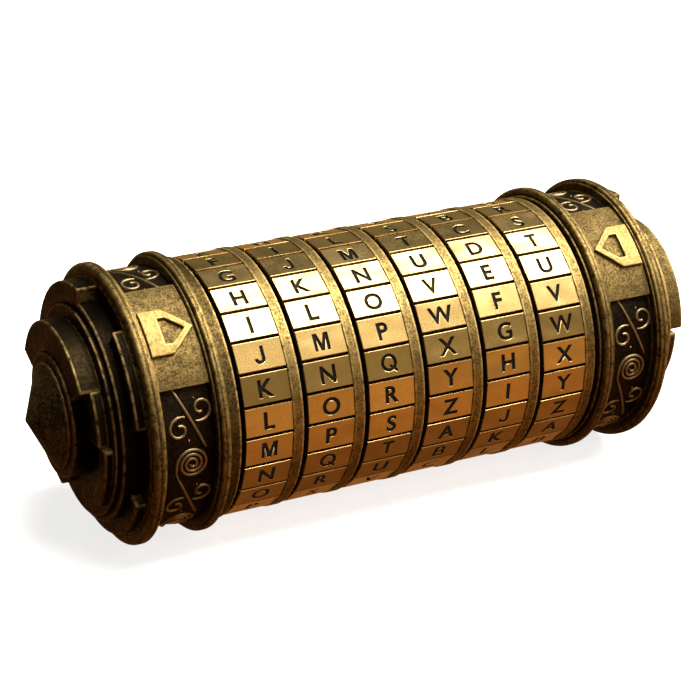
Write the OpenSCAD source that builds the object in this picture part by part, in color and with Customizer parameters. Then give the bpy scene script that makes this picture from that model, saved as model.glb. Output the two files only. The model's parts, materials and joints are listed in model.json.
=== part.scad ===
// Cryptex: a combination vault with six letter dials, lying along +X with its axis on the X axis.
// The casing is the tube that carries the dials, and the vault is the inner tube that pulls out to +X.
// Every radius is built outwards from the vault's bore, and every place along X from the row of dials.
// Millimetres, +Z up, origin on the axis half-way between the two finial tips.

/* [Vault] */
// Radius of the vault's bore
bore_r = 10; // [8:0.1:13]
// Wall of the vault tube
vault_wall = 1.4; // [1:0.05:2]
// Thickness of the plugs that close the two tubes
plug_l = 5; // [4:0.1:7]

/* [Lock] */
// Radial clearance between parts that run on each other
run_fit = 0.08; // [0.03:0.01:0.1]
// Wall of the slotted body tube
tube_wall = 1.52; // [1.2:0.01:2]
// Height of a key tooth above the body tube
tooth_h = 2.2; // [1.6:0.1:3]
// Width of the key and its teeth
tooth_w = 2; // [1.2:0.1:2.6]
// Length of a key tooth
tooth_l = 2.4; // [1.8:0.1:3]
// Gap between the key and the slot that it slides in
slot_gap = 0.1; // [0.05:0.05:0.3]
// Slack of a code notch on each side of its tooth, in degrees
notch_slack = 5; // [4:0.5:6]
// Wall of a code ring round its recess
code_wall = 0.9; // [0.7:0.1:1.5]
// Opening of each spring clip, in degrees
clip_opening = 30; // [24:1:50]

/* [Dials] */
// Wall of a letter ring, from its bore to the corners between its tiles
letter_wall = 3.6; // [2.5:0.1:5]
// Width of the letter tiles
tile_w = 7.5; // [6:0.1:10]
// Width of the plain band on the right of the tiles
band_w = 1.7; // [1:0.1:2.5]
// Gap between one dial and the next
dial_gap = 0.8; // [0.6:0.05:1.2]
// Letters round each dial
letter_count = 26; // [20:1:30]
// Height above the horizontal of the row that shows the word, in degrees
code_angle = 47.4; // [0:0.1:90]
// How far each dial stands above its exact letter position, in degrees
dial_play = [0, 0.5, 0, 2, 3.5, 1.75]; // [0:0.25:4]

/* [Collars] */
// Height of the flanges above the dial corners
flange_h = 1.4; // [0.8:0.1:2.5]
// Width of the ornamented channel of each collar
channel_w = 8.4; // [6.5:0.1:10.5]
// Depth of the channel below the dial corners
channel_depth = 0.6; // [0.3:0.1:1]
// Width of the left collar beside the first dial
left_band = 3.4; // [2:0.1:5]
// Width of the right collar beside the last dial
right_band = 1.8; // [1.6:0.1:3]
// Arc of each index plate, in degrees
plate_arc = 48; // [30:1:70]
// Height above the horizontal of the middle of each index plate, in degrees
plate_angle = 50.5; // [0:0.5:90]
// Thickness of an index plate
plate_t = 0.9; // [0.6:0.1:1.2]

/* [Ends] */
// Radial width of the raised crown
crown_w = 4.6; // [3:0.1:6]
// Height of the finial cone
cone_h = 4.1; // [2:0.1:8]
// Length of a finial's stud
stud_l = 14; // [11:0.5:17]
// First and last angle of the left raised crown, from the horizontal front over the top
crown_arc = [34, 158]; // [10:1:240]
// First and last angle of the right raised crown
right_crown_arc = [0, 158]; // [0:1:240]

/* [Hidden] */
$fn = 96;
dial_count = 6;
DIALS = [for (i = [1 : dial_count]) i];

seat_fit = 0.05;                  // clearance between parts that are set into each other
overlap = 0.2;                    // how far joined shapes reach into each other
step = 360 / letter_count;        // angle of one letter

// Concentric walls, from the vault outwards
vault_r = bore_r + vault_wall;
tube_bore_r = vault_r + run_fit;
tube_r = tube_bore_r + tube_wall;
code_bore_r = tube_r + run_fit;
tooth_r = tube_r + tooth_h;
recess_r = tooth_r + 0.3;
code_r = recess_r + code_wall;
letter_bore_r = code_r + seat_fit;
dial_r = code_r + letter_wall;    // over the corners between the tiles
band_r = dial_r + 0.1;
flange_r = dial_r + flange_h;
floor_r = dial_r - channel_depth;

// Dials
dial_w = tile_w + band_w;
dial_pitch = dial_w + dial_gap;
stack_w = dial_count * dial_pitch - dial_gap;
groove_w = 0.5;                   // dark grooves between the tiles
groove_depth = 0.5;
key_w = 1.4;                      // keys of a code ring and the notches they fit
key_h = 0.5;

// The row of dials and the channels beside it, along X: the channels lie evenly about the origin
channel_in = (left_band + right_band + stack_w + 2 * dial_gap) / 2;
channel_out = channel_in + channel_w;
left_face = left_band - channel_in;             // left collar's face beside the first dial
stack_x = left_face + dial_gap;                 // left face of the first dial
right_face = channel_in - right_band;           // right collar's face beside the last dial

// Key, clips and tubes, along X
tooth_gap = 1;                                  // from a dial's left face to its tooth
recess_w = tooth_gap + tooth_l + 1;             // the part of a code ring that clears its tooth
clip_gap = 0.1;
clip_w = dial_gap - 2 * clip_gap;
clip_groove = 0.4;
rail_start = stack_x + tooth_gap - 0.5;
slot_start = rail_start - 0.5;
socket_l = 2;                                   // how far the body tube reaches into the right collar
tube_right = right_face + socket_l;
vault_gap = 1.5;                                // between the vault's mouth and the plug behind it
rivet_r = 0.6;

// Collars
lip_w = 2;                                      // rim round the end cap
lip_t = 0.6;
lip_r = flange_r - 1;
lip_bore = lip_r - lip_t;
inner_flange_t = 1.4;
outer_flange_t = 1.7;
bead_t = 0.5;
seat_depth = 1.1;
lip_face = channel_out + lip_w;
seat_face = lip_face - seat_depth;              // where the end cap sits
arrow_t = 0.6;
arrow_border = 1.3;
screw_r = 1.5;

// Steps of the end cap and crown: height above the collar's seat, and radius from the lip inwards
base_h = 1.2;
ring_low_h = 2.8;
ring_high_h = 4.4;
disc_c_h = 4.3;
disc_b_h = 5.1;
land_h = 6.5;
crown_low_h = 6.9;
crown_high_h = 8.5;
boss_h = 8.9;
ring_r = lip_bore - 0.5;
disc_c_r = ring_r - 2.3;
disc_b_r = disc_c_r - 1;
crown_r = disc_b_r - 1.9;
crown_bore = crown_r - crown_w;
boss_r = crown_bore - seat_fit;
cone_r = crown_bore - 1.5;
stud_r = 2.5;
tip_r = 0.15;

// Ends of the tubes, along X
plug_left = 1 - channel_out;
tube_left = 0.3 - seat_face;
vault_left = plug_left + plug_l + vault_gap;
vault_right = channel_out - 0.4;
vault_plug_r = bore_r + vault_wall / 3;         // the plug sits against a step in the bore

// Left face of the clip before dial i
function clip_x(i) = stack_x + i * dial_pitch - dial_gap + clip_gap;

// Places of the rivets along the key rail, each between two teeth
function rivet_xs() = [for (i = [0 : 2 : dial_count - 1])
    stack_x + i * dial_pitch + tooth_gap + tooth_l + dial_pitch / 3];

// Turns a profile drawn as [radius, distance along X] into a body round the X axis
module turned(angle = 360) {
    rotate([0, 90, 0]) rotate_extrude(angle = angle) children();
}

// Half-section of a ring, from x1 to x2
module section(x1, x2, r_in, r_out) {
    translate([r_in, x1]) square([r_out - r_in, x2 - x1]);
}

// A ring round the X axis, from x1 to x2
module ring(x1, x2, r_in, r_out) {
    turned() section(x1, x2, r_in, r_out);
}

// A disc round the X axis, from x1 to x2
module disc(x1, x2, r) {
    translate([x1, 0, 0]) rotate([0, 90, 0]) cylinder(h = x2 - x1, r = r);
}

// A part of a ring, between two heights above the horizontal front
module arc_ring(x1, x2, r_in, r_out, low, high) {
    rotate([180 - low, 0, 0]) rotate([90, 0, 0]) mirror([0, 1, 0])
        turned(high - low) section(x1, x2, r_in, r_out);
}

// Moves a shape drawn at the top of the axis to a height above the horizontal front
module at_angle(height) {
    rotate([90 - height, 0, 0]) children();
}

// Turns a shape made for the right end into its twin for the left end
module for_left_end() {
    mirror([1, 0, 0]) children();
}

// ---- Casing ----

// Tube that carries the dials, slotted along the code row for the key
module body_tube() {
    slot_w = tooth_w + 2 * slot_gap;
    color("DarkGoldenrod") difference() {
        ring(tube_left, tube_right, tube_bore_r, tube_r);
        at_angle(code_angle) translate([slot_start, -slot_w / 2, bore_r])
            cube([tube_right - slot_start + 1, slot_w, tube_r]);
        for (i = [0 : dial_count])
            ring(clip_x(i), clip_x(i) + clip_w, tube_r - clip_groove, tube_r + 1);
    }
}

// Open spring clips in the tube's grooves, one at each side of every dial
module dial_clips() {
    color("DimGray") for (i = [0 : dial_count])
        arc_ring(clip_x(i), clip_x(i) + clip_w, tube_r - clip_groove, tooth_r,
            code_angle + clip_opening / 2, code_angle + 360 - clip_opening / 2);
}

// Threaded disc that closes a tube and takes a finial's stud
module plug(x, r) {
    color("Peru") difference() {
        disc(x, x + plug_l, r);
        disc(x - 1, x + plug_l + 1, stud_r);
    }
}

// ---- Dials ----

// Outline of a dial's letter tiles: flats with a groove at each corner
module tile_outline() {
    corners = [for (i = [0 : letter_count - 1]) (i + 0.5) * step];
    difference() {
        polygon([for (a = corners) dial_r * [cos(a), sin(a)]]);
        for (a = corners) rotate(a) translate([dial_r - groove_depth, -groove_w / 2])
            square([groove_depth + 1, groove_w]);
    }
}

// Moves a shape drawn with its left face at the origin and its code letter on top to dial i
module on_dial(i) {
    translate([stack_x + i * dial_pitch, 0, 0]) at_angle(code_angle + dial_play[i]) children();
}

// Outer ring of a dial, with one flat tile a letter and a plain band on its right
module letter_ring(i) {
    notch_w = key_w + 2 * seat_fit;
    color("Goldenrod") on_dial(i) difference() {
        union() {
            rotate([0, 90, 0]) rotate(180) linear_extrude(tile_w) tile_outline();
            disc(tile_w, dial_w, band_r);
        }
        disc(-1, dial_w + 1, letter_bore_r);
        for (k = [0 : letter_count - 1]) rotate([k * step, 0, 0])
            translate([-1, -notch_w / 2, code_r - 1]) cube([dial_w + 2, notch_w, key_h + seat_fit + 1]);
    }
}

// Inner ring of a dial: a recess that clears the key's tooth, then a land with one notch
module code_ring(i) {
    notch = tooth_w / 2 + tooth_r * sin(notch_slack);
    color("SaddleBrown") on_dial(i) difference() {
        union() {
            disc(0, dial_w, code_r);
            for (side = [0, 180]) rotate([side, 0, 0])
                translate([0, -key_w / 2, code_r - 1]) cube([dial_w, key_w, key_h + 1]);
        }
        disc(-1, recess_w, recess_r);
        disc(-1, dial_w + 1, code_bore_r);
        translate([recess_w - 1, -notch, 0]) cube([dial_w, 2 * notch, recess_r]);
    }
}

// ---- Vault ----

// Shanks of the rivets, from the axis outwards
module rivet_shanks() {
    at_angle(code_angle) for (x = rivet_xs()) translate([x, 0, 0]) cylinder(h = dial_r, r = rivet_r);
}

// Inner tube that holds the contents, open at its left end
module vault_tube() {
    color("Gold") difference() {
        ring(vault_left, vault_right, bore_r, vault_r);
        disc(vault_right - plug_l, vault_right + 1, vault_plug_r);
        rivet_shanks();
    }
}

// Bar on the vault with one tooth a dial
module key_rail() {
    color("Silver") difference() {
        intersection() {
            at_angle(code_angle) union() {
                translate([rail_start, -tooth_w / 2, 0])
                    cube([tube_right - rail_start, tooth_w, tube_r - 0.1]);
                for (i = [0 : dial_count - 1])
                    translate([stack_x + i * dial_pitch + tooth_gap, -tooth_w / 2, 0])
                        cube([tooth_l, tooth_w, dial_r]);
            }
            ring(rail_start, tube_right, vault_r, tooth_r);
        }
        rivet_shanks();
    }
}

// Rivets that hold the key rail on the vault
module key_rivets() {
    color("DimGray") intersection() {
        rivet_shanks();
        ring(rail_start, tube_right, bore_r, tube_r - 0.1);
    }
}

// ---- Collars ----

// Half-section of a collar, from its face beside the dials to the lip round the end cap
module collar_section(face, r_in) {
    section(face, seat_face, r_in, floor_r);
    section(face, channel_in, r_in, band_r + 0.1);
    section(channel_out, seat_face, r_in, lip_r);
    section(channel_out, lip_face, lip_bore, lip_r);
    flange(channel_in - inner_flange_t, inner_flange_t);
    flange(lip_face - outer_flange_t, outer_flange_t);
    bead(channel_in);
    bead(channel_out);
}

// Half-section of a flange with a round edge, from x on
module flange(x, t) {
    section(x, x + t, lip_bore, flange_r - t / 2);
    intersection() {
        translate([flange_r - t / 2, x + t / 2]) circle(r = t / 2);
        section(x, x + t, lip_bore, flange_r);
    }
}

// Half-section of a thin bead beside the channel, from x on
module bead(x) {
    bead_r = flange_r - bead_t;
    section(x, x + bead_t, floor_r - overlap, bead_r - bead_t / 2);
    translate([bead_r - bead_t / 2, x + bead_t / 2]) circle(r = bead_t / 2);
}

// Left collar, on the body tube
module left_collar() {
    color("Sienna") for_left_end() difference() {
        turned() collar_section(-left_face, tube_r);
        set_screw_hole();
    }
}

// Right collar, on the vault, with a socket that covers the end of the body tube
module right_collar() {
    color("Sienna") difference() {
        turned() difference() {
            collar_section(right_face, vault_r);
            section(right_face - 1, tube_right + run_fit, 0, tube_r + run_fit);
        }
        set_screw_hole();
    }
}

// Radial hole under the index plate
module set_screw_hole() {
    at_angle(plate_angle) translate([channel_in + channel_w / 2, 0, 0]) cylinder(h = flange_r, r = screw_r);
}

// Grub screw from r_in outwards, just below the channel's floor
module set_screw(r_in) {
    color("DimGray") intersection() {
        set_screw_hole();
        ring(channel_in, channel_out, r_in, floor_r - 0.5);
    }
}

// Outline of an index arrow that points to -X, as a frame with an opening
module arrow_outline() {
    long = 0.87 * channel_w;
    half = 0.43 * channel_w;
    shoulder = 0.53 * long;
    open_half = 0.24 * channel_w;
    difference() {
        polygon([[0, 0], [shoulder, half], [long, half], [long, -half], [shoulder, -half]]);
        translate([arrow_border, 0]) polygon([[0, 0], [0.32 * long, open_half], [0.48 * long, open_half],
            [0.48 * long, -open_half], [0.32 * long, -open_half]]);
    }
}

// Plate in the channel with a raised arrow that points to the dials
module index_plate() {
    color("Tan") arc_ring(channel_in + bead_t + seat_fit, channel_out - seat_fit, floor_r, floor_r + plate_t,
        plate_angle - plate_arc / 2, plate_angle + plate_arc / 2);
    color("Tan") intersection() {
        at_angle(plate_angle) translate([channel_in + 0.1 * channel_w, 0, 0])
            linear_extrude(flange_r) arrow_outline();
        ring(channel_in, channel_out, floor_r + plate_t - overlap, floor_r + plate_t + arrow_t);
    }
}

// ---- Ends ----

// Part of a ring raised on the end cap
module raised_arc(from_h, to_h, r_in, r_out, low, high) {
    arc_ring(seat_face + from_h - overlap, seat_face + to_h, r_in, r_out, low, high);
}

// Stepped disc that fills the collar's end, with parts of rings raised on it
module end_cap() {
    color("SaddleBrown") difference() {
        union() {
            disc(seat_face, seat_face + base_h, lip_bore - seat_fit);
            disc(seat_face, seat_face + disc_c_h, disc_c_r);
            disc(seat_face, seat_face + disc_b_h, disc_b_r);
            disc(seat_face, seat_face + boss_h, boss_r);
            raised_arc(base_h, ring_low_h, disc_c_r - overlap, ring_r, 12, 57);
            raised_arc(base_h, ring_high_h, disc_c_r - overlap, ring_r, 88, 205);
            raised_arc(base_h, ring_low_h, disc_c_r - overlap, ring_r, 240, 333);
            raised_arc(disc_b_h, land_h, crown_r - 1, disc_b_r - 0.6, 315, 360);
        }
        disc(seat_face - 1, seat_face + boss_h + 1, stud_r);
    }
}

// Ring on the end cap, open below the front, with the raised crown over the top
module crown(raised) {
    low = seat_face + crown_low_h;
    high = seat_face + crown_high_h;
    color("Peru") difference() {
        arc_ring(seat_face + disc_b_h, high, crown_bore, crown_r, 0, 255);
        if (raised[0] > 0) arc_ring(low, high + 1, crown_bore - 1, crown_r + 1, -5, raised[0]);
        arc_ring(low, high + 1, crown_bore - 1, crown_r + 1, raised[1], 260);
    }
}

// Cone with a stud that clamps the end cap
module finial() {
    face = seat_face + boss_h;
    color("DarkGoldenrod") union() {
        translate([face, 0, 0]) rotate([0, 90, 0]) cylinder(h = cone_h, r1 = cone_r, r2 = tip_r);
        disc(face - stud_l, face + overlap, stud_r);
    }
}

body_tube();
plug(plug_left, tube_bore_r);  // tube_plug
left_collar();
for_left_end() index_plate();  // left_index_plate
for_left_end() set_screw(tube_r);  // left_set_screw
for_left_end() end_cap();  // left_end_cap
for_left_end() crown(crown_arc);  // left_crown
for_left_end() finial();  // left_finial
dial_clips();
for (i = DIALS) letter_ring(i - 1);
for (i = DIALS) code_ring(i - 1);
vault_tube();
plug(vault_right - plug_l, vault_plug_r);  // vault_plug
key_rail();
key_rivets();
right_collar();
index_plate();  // right_index_plate
set_screw(vault_r);  // right_set_screw
end_cap();  // right_end_cap
crown(right_crown_arc);  // right_crown
finial();  // right_finial
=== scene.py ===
"""Looks of a cryptex: six letter dials between two ornamented collars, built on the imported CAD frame.

The axis lies along +X with the origin at its middle, and sizes in the classes are millimetres.
An elevation is an angle round the axis, in degrees: 0 is the horizontal front (-Y) and 90 is the top (+Z).
"""

import json
import logging
import math
from dataclasses import dataclass, field, replace
from enum import Enum
from typing import Sequence

import bmesh
import bpy
from bmesh.types import BMesh
from bpy.types import Curve, Material, Mesh, Node, NodeSocket, NodeTree, Object
from mathutils import Matrix, Vector

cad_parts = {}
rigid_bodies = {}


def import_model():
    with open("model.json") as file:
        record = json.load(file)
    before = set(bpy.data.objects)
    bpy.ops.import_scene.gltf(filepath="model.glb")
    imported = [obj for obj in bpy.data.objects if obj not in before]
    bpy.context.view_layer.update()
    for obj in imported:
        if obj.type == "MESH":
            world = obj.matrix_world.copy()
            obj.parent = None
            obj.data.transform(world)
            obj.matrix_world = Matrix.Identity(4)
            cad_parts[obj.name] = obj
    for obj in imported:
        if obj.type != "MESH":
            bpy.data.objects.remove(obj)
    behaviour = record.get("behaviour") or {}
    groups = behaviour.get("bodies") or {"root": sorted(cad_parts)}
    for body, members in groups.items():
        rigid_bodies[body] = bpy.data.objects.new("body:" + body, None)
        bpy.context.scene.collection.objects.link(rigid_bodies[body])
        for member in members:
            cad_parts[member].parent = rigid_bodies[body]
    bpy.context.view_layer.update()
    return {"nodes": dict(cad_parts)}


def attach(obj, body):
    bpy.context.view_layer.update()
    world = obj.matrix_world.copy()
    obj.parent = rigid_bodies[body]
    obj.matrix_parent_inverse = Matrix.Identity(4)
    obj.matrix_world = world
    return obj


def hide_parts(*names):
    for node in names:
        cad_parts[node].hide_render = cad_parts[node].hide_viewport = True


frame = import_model()

LOG = logging.getLogger("cryptex")
MM = 0.001
EDGE = "edge"
ENGRAVED = "engraved"
TONE = "tone"
ALPHABET = "ABCDEFGHIJKLMNOPQRSTUVWXYZ"
LETTER_STEP = 360 / len(ALPHABET)

Colour = tuple[float, float, float]
Pair = tuple[float, float]
Triple = tuple[float, float, float]
Value = object  # a number, colour, data block or output socket that a node's input takes
Inputs = dict[str | int, Value]


class Side(Enum):
    """The two ends of the cryptex, as the sign of X."""

    LEFT = -1
    RIGHT = 1

    @property
    def word(self) -> str:
        """The side's name as the CAD nodes spell it."""
        return self.name.lower()

    @property
    def body(self) -> str:
        """The CAD body that carries this side's fittings."""
        return "casing" if self is Side.LEFT else "vault"


def radial(elevation: float) -> Vector:
    """Unit vector from the axis outwards at an elevation in degrees."""
    angle = math.radians(elevation)
    return Vector((0, -math.cos(angle), math.sin(angle)))


def place(x: float, radius: float, elevation: float) -> Vector:
    """Point at a distance along the axis, a radius and an elevation, in metres."""
    return (Vector((x, 0, 0)) + radial(elevation) * radius) * MM


# ---- Turned sections ----

GUARD = 0.18  # distance from a rounding to its guard points
SIDE_SHARE = 0.499  # share of a side that a corner's points may take up
LEAST_ROOM = 0.01  # least distance at which a guard point is worth adding
FLAT = 1e-6  # difference in X below which a face counts as lying across the axis


@dataclass(frozen=True)
class Corner:
    """A corner of a turned half-section.

    Attributes:
        x: Distance along the axis.
        r: Radius.
        soft: Size of the rounding.
        steps: Points on the rounding.
        finish: Index of the finish between this corner and the next one.
        ridge: Share of the edge value that the corner gets, which sets both its rubbed wear and its painted
            highlight.
    """

    x: float
    r: float
    soft: float = 0.15
    steps: int = 3
    finish: int = 0
    ridge: float = 1.0


@dataclass(frozen=True)
class SectionPoint:
    """A point of a finished half-section, with its edge value: 1 on a ridge and -1 in a crease."""

    x: float
    r: float
    edge: float
    finish: int


def soften(corners: Sequence[Corner]) -> list[SectionPoint]:
    """Rounds the corners of a closed half-section and adds guard points beside each rounding.

    Args:
        corners: Corners in order, the last one joined to the first.

    Returns:
        The points of the rounded section.
    """
    points = [Vector((c.x, c.r)) for c in corners]
    area = sum(a.cross(b) for a, b in zip(points, points[1:] + points[:1]))
    made: list[SectionPoint] = []
    for i, corner in enumerate(corners):
        here, before, after = points[i], points[i - 1], points[(i + 1) % len(points)]
        back, ahead = before - here, after - here
        finish_before = corners[i - 1].finish
        if corner.soft <= 0:
            made.append(SectionPoint(corner.x, corner.r, 0, corner.finish))
            continue
        reach = min(corner.soft, SIDE_SHARE * back.length, SIDE_SHARE * ahead.length)
        turn = corner.ridge if ahead.cross(back) * area > 0 else -corner.ridge
        room = [min(GUARD, SIDE_SHARE * way.length - reach) for way in (back, ahead)]
        start, end = back.normalized(), ahead.normalized()
        if room[0] > LEAST_ROOM:
            p = here + start * (reach + room[0])
            made.append(SectionPoint(p.x, p.y, 0, finish_before))
        for k in range(corner.steps):
            s = k / (corner.steps - 1)
            p = here + start * reach * (1 - s) ** 2 + end * reach * s**2
            kind = finish_before if s < 0.5 else corner.finish
            made.append(SectionPoint(p.x, p.y, turn, kind))
        if room[1] > LEAST_ROOM:
            p = here + end * (reach + room[1])
            made.append(SectionPoint(p.x, p.y, 0, corner.finish))
    return made


def box_section(x1: float, x2: float, r1: float, r2: float, soft: float) -> list[Corner]:
    """Half-section of a plain ring with rounded corners."""
    return [Corner(x, r, soft) for x, r in ((x1, r1), (x1, r2), (x2, r2), (x2, r1))]


def inset(corners: Sequence[Corner], depth: float) -> list[Corner]:
    """Draws a convex half-section in by a depth, keeping its number of corners.

    Args:
        corners: Corners of the half-section.
        depth: How far each side moves in.

    Returns:
        The new corners.
    """
    made = []
    for i, corner in enumerate(corners):
        here = Vector((corner.x, corner.r))
        back = (Vector((corners[i - 1].x, corners[i - 1].r)) - here).normalized()
        after = corners[(i + 1) % len(corners)]
        ahead = (Vector((after.x, after.r)) - here).normalized()
        p = here + (back + ahead) * depth / abs(back.cross(ahead))
        made.append(replace(corner, x=p.x, r=p.y, soft=max(corner.soft - depth, 0.02)))
    return made


def mirrored(corners: Sequence[Corner], side: Side) -> list[Corner]:
    """Turns a half-section drawn for the right end into one for a side."""
    return [replace(c, x=c.x * side.value) for c in corners]


def faced(corners: Sequence[Corner]) -> list[Corner]:
    """Gives the faces that lie across the axis the second finish."""
    ahead = list(corners[1:]) + [corners[0]]
    return [replace(c, finish=int(abs(c.x - d.x) < FLAT)) for c, d in zip(corners, ahead)]


# ---- Meshes ----

MERGE = MM * 1e-4  # distance at which points become one
SHARP = 42  # angle in degrees above which an edge stays sharp
CAP_RIM = 0.2  # width of the plain strip between the rounding and the middle of an end face
SWEEP_STEP = 1.25  # angle in degrees from station to station


def close_mesh(shape: BMesh, name: str) -> Mesh:
    """Merges doubles, turns the faces outwards, shades smooth and returns the mesh.

    Args:
        shape: The shape, which is freed.
        name: Name of the mesh.

    Returns:
        The finished mesh.
    """
    bmesh.ops.remove_doubles(shape, verts=shape.verts, dist=MERGE)
    bmesh.ops.dissolve_degenerate(shape, edges=shape.edges, dist=MERGE)
    bmesh.ops.recalc_face_normals(shape, faces=shape.faces)
    for face in shape.faces:
        face.smooth = True
    mesh = bpy.data.meshes.new(name)
    shape.to_mesh(mesh)
    shape.free()
    mesh.set_sharp_from_angle(angle=math.radians(SHARP))
    return mesh


def skin(
    shape: BMesh, rings: Sequence[Sequence[tuple[Vector, float]]], finishes: Sequence[int], closed: bool
) -> None:
    """Adds a skin over rings of points, each ring closed in itself.

    Args:
        shape: The shape to add to.
        rings: Rings of (point, edge value), all with the same count.
        finishes: Finish index of the strip that starts at each point of a ring.
        closed: True joins the last ring to the first; False caps both.
    """
    layer = shape.verts.layers.float.get(EDGE) or shape.verts.layers.float.new(EDGE)
    grid = []
    for ring in rings:
        grid.append([shape.verts.new(point) for point, _ in ring])
        for vert, (_, edge) in zip(grid[-1], ring):
            vert[layer] = edge
    count = len(grid[0])
    pairs = list(zip(grid, grid[1:])) + ([(grid[-1], grid[0])] if closed else [])
    for a, b in pairs:
        for i in range(count):
            j = (i + 1) % count
            shape.faces.new((a[i], a[j], b[j], b[i])).material_index = finishes[i]
    if not closed:
        for row in (grid[0], grid[-1]):
            shape.faces.new(row).material_index = finishes[0]


def turn_section(shape: BMesh, corners: Sequence[Corner], steps: int = 300) -> None:
    """Turns a closed half-section round the axis into a full ring.

    Args:
        shape: The shape to add to.
        corners: The half-section.
        steps: Steps round the axis.
    """
    section = soften(corners)
    rings = [[(place(p.x, p.r, 360 * k / steps), p.edge) for p in section] for k in range(steps)]
    skin(shape, rings, [p.finish for p in section], closed=True)


def sweep_section(shape: BMesh, corners: Sequence[Corner], low: float, high: float, soft: float) -> None:
    """Sweeps a convex half-section between two elevations into a block with rounded ends.

    The first station draws each end face in, so that only its rim counts as an edge.

    Args:
        shape: The shape to add to.
        corners: The half-section.
        low: First elevation, in degrees.
        high: Last elevation, in degrees.
        soft: Rounding of the two ends.
    """
    radius = max(c.r for c in corners)
    degrees = math.degrees(soft / radius)
    stations = [(0, soft + CAP_RIM, 0.0)]
    for quarter in (0, 45, 90):
        angle = math.radians(quarter)
        stations.append((degrees * (1 - math.cos(angle)), soft * (1 - math.sin(angle)), 1.0))
    stations.append((degrees * 2, 0, 0.0))
    count = max(4, round((high - low) / SWEEP_STEP))
    inner = [degrees * 3 + (high - low - degrees * 6) * k / count for k in range(count + 1)]
    ring_list = [(low + a, d, e) for a, d, e in stations]
    ring_list += [(low + a, 0, 0.0) for a in inner]
    ring_list += [(high - a, d, e) for a, d, e in reversed(stations)]
    rings = []
    for elevation, depth, edge in ring_list:
        section = soften(inset(corners, depth) if depth > FLAT else corners)
        rings.append([(place(p.x, p.r, elevation), max(p.edge, edge)) for p in section])
    skin(shape, rings, [p.finish for p in section], closed=False)


# ---- Objects ----


def link(thing: Object) -> Object:
    """Adds an object to the scene and returns it."""
    bpy.context.scene.collection.objects.link(thing)
    return thing


def evaluate(thing: Object) -> Mesh:
    """Mesh of an object of the scene after its modifiers."""
    return bpy.data.meshes.new_from_object(thing.evaluated_get(bpy.context.evaluated_depsgraph_get()))


def add_piece(
    name: str, mesh: Mesh, finishes: Sequence[Material], body: str, slot: str, *nodes: str
) -> None:
    """Makes a piece from a mesh, rides it on its body and hides the CAD nodes it stands for.

    Args:
        name: Name of the piece.
        mesh: Its mesh, in place.
        finishes: Materials, in the order of the mesh's indices.
        body: CAD body that it rides on.
        slot: Material slot of the record; not used.
        *nodes: CAD nodes that it replaces.
    """
    piece = link(bpy.data.objects.new(name, mesh))
    for finish in finishes:
        mesh.materials.append(finish)
    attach(piece, body)
    if nodes:
        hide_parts(*nodes)
    LOG.info("%s: %d faces on %s", name, len(mesh.polygons), body)


# ---- Node trees ----


class Tree:
    """A node tree, with short calls that add nodes to it."""

    def __init__(self, tree: NodeTree) -> None:
        """Wraps a tree."""
        self.tree = tree

    def put(self, kind: str, inputs: Inputs | None = None, **settings: object) -> Node:
        """Adds a node.

        Args:
            kind: Node type.
            inputs: Socket name or index to a value or an output socket.
            **settings: Properties of the node.

        Returns:
            The node.
        """
        node = self.tree.nodes.new(kind)
        for key, value in settings.items():
            setattr(node, key, value)
        self.feed(node, inputs or {})
        return node

    def feed(self, node: Node, inputs: Inputs) -> None:
        """Links or sets inputs of a node.

        Args:
            node: The node.
            inputs: Socket name or index to a value or an output socket.
        """
        for key, value in inputs.items():
            if isinstance(value, NodeSocket):
                self.tree.links.new(value, node.inputs[key])
            else:
                node.inputs[key].default_value = value

    def out(
        self, kind: str, inputs: Inputs | None = None, output: int | str = 0, **settings: object
    ) -> NodeSocket:
        """Adds a node and returns one of its outputs."""
        return self.put(kind, inputs, **settings).outputs[output]

    def math(self, kind: str, *values: Value, clamp: bool = False) -> NodeSocket:
        """Adds a Math node with the given inputs and returns its output."""
        return self.out("ShaderNodeMath", dict(enumerate(values)), operation=kind, use_clamp=clamp)


class Group(Tree):
    """A node group with named sockets; its inputs are in given."""

    def __init__(self, name: str, kind: str, inputs: Sequence[tuple], outputs: dict[str, str]) -> None:
        """Makes a group that has nothing between its inputs and outputs yet.

        Args:
            name: Name of the group.
            kind: Tree type.
            inputs: (name, kind of socket) of each input, and its default where it has one.
            outputs: Name to kind of socket of each output.
        """
        super().__init__(bpy.data.node_groups.new(name, kind))
        sockets = self.tree.interface
        for label, socket, *default in inputs:
            made = sockets.new_socket(name=label, in_out="INPUT", socket_type=f"NodeSocket{socket}")
            if default:
                made.default_value = default[0]
        for label, socket in outputs.items():
            sockets.new_socket(name=label, in_out="OUTPUT", socket_type=f"NodeSocket{socket}")
        self.given = self.put("NodeGroupInput").outputs

    def deliver(self, results: Inputs) -> NodeTree:
        """Links the outputs of the group and returns the finished tree."""
        self.put("NodeGroupOutput", results)
        return self.tree

    def run(self, name: str, inputs: Inputs) -> Mesh:
        """Runs a Geometry Nodes group on an empty host.

        Args:
            name: Name of the mesh.
            inputs: Socket name to value.

        Returns:
            The realized mesh, with its materials.
        """
        host = link(bpy.data.objects.new(name + "_host", bpy.data.meshes.new(name + "_host")))
        modifier = host.modifiers.new("shape", "NODES")
        modifier.node_group = self.tree
        identifiers = {s.name: s.identifier for s in self.tree.interface.items_tree if s.in_out == "INPUT"}
        for key, value in inputs.items():
            modifier[identifiers[key]] = value
        mesh = evaluate(host)
        mesh.name = name
        host.modifiers.clear()
        bpy.data.objects.remove(host)
        return mesh


# ---- Finishes ----

BRUSH_SCALE = (9000, 350, 350)  # marks per metre along the axis and across it
TONE_RANGE = 0.22  # difference in brightness between the darkest and the lightest tile
TONE_LIFT = 0.08  # how much brighter than its finish the lightest tile is


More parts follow.
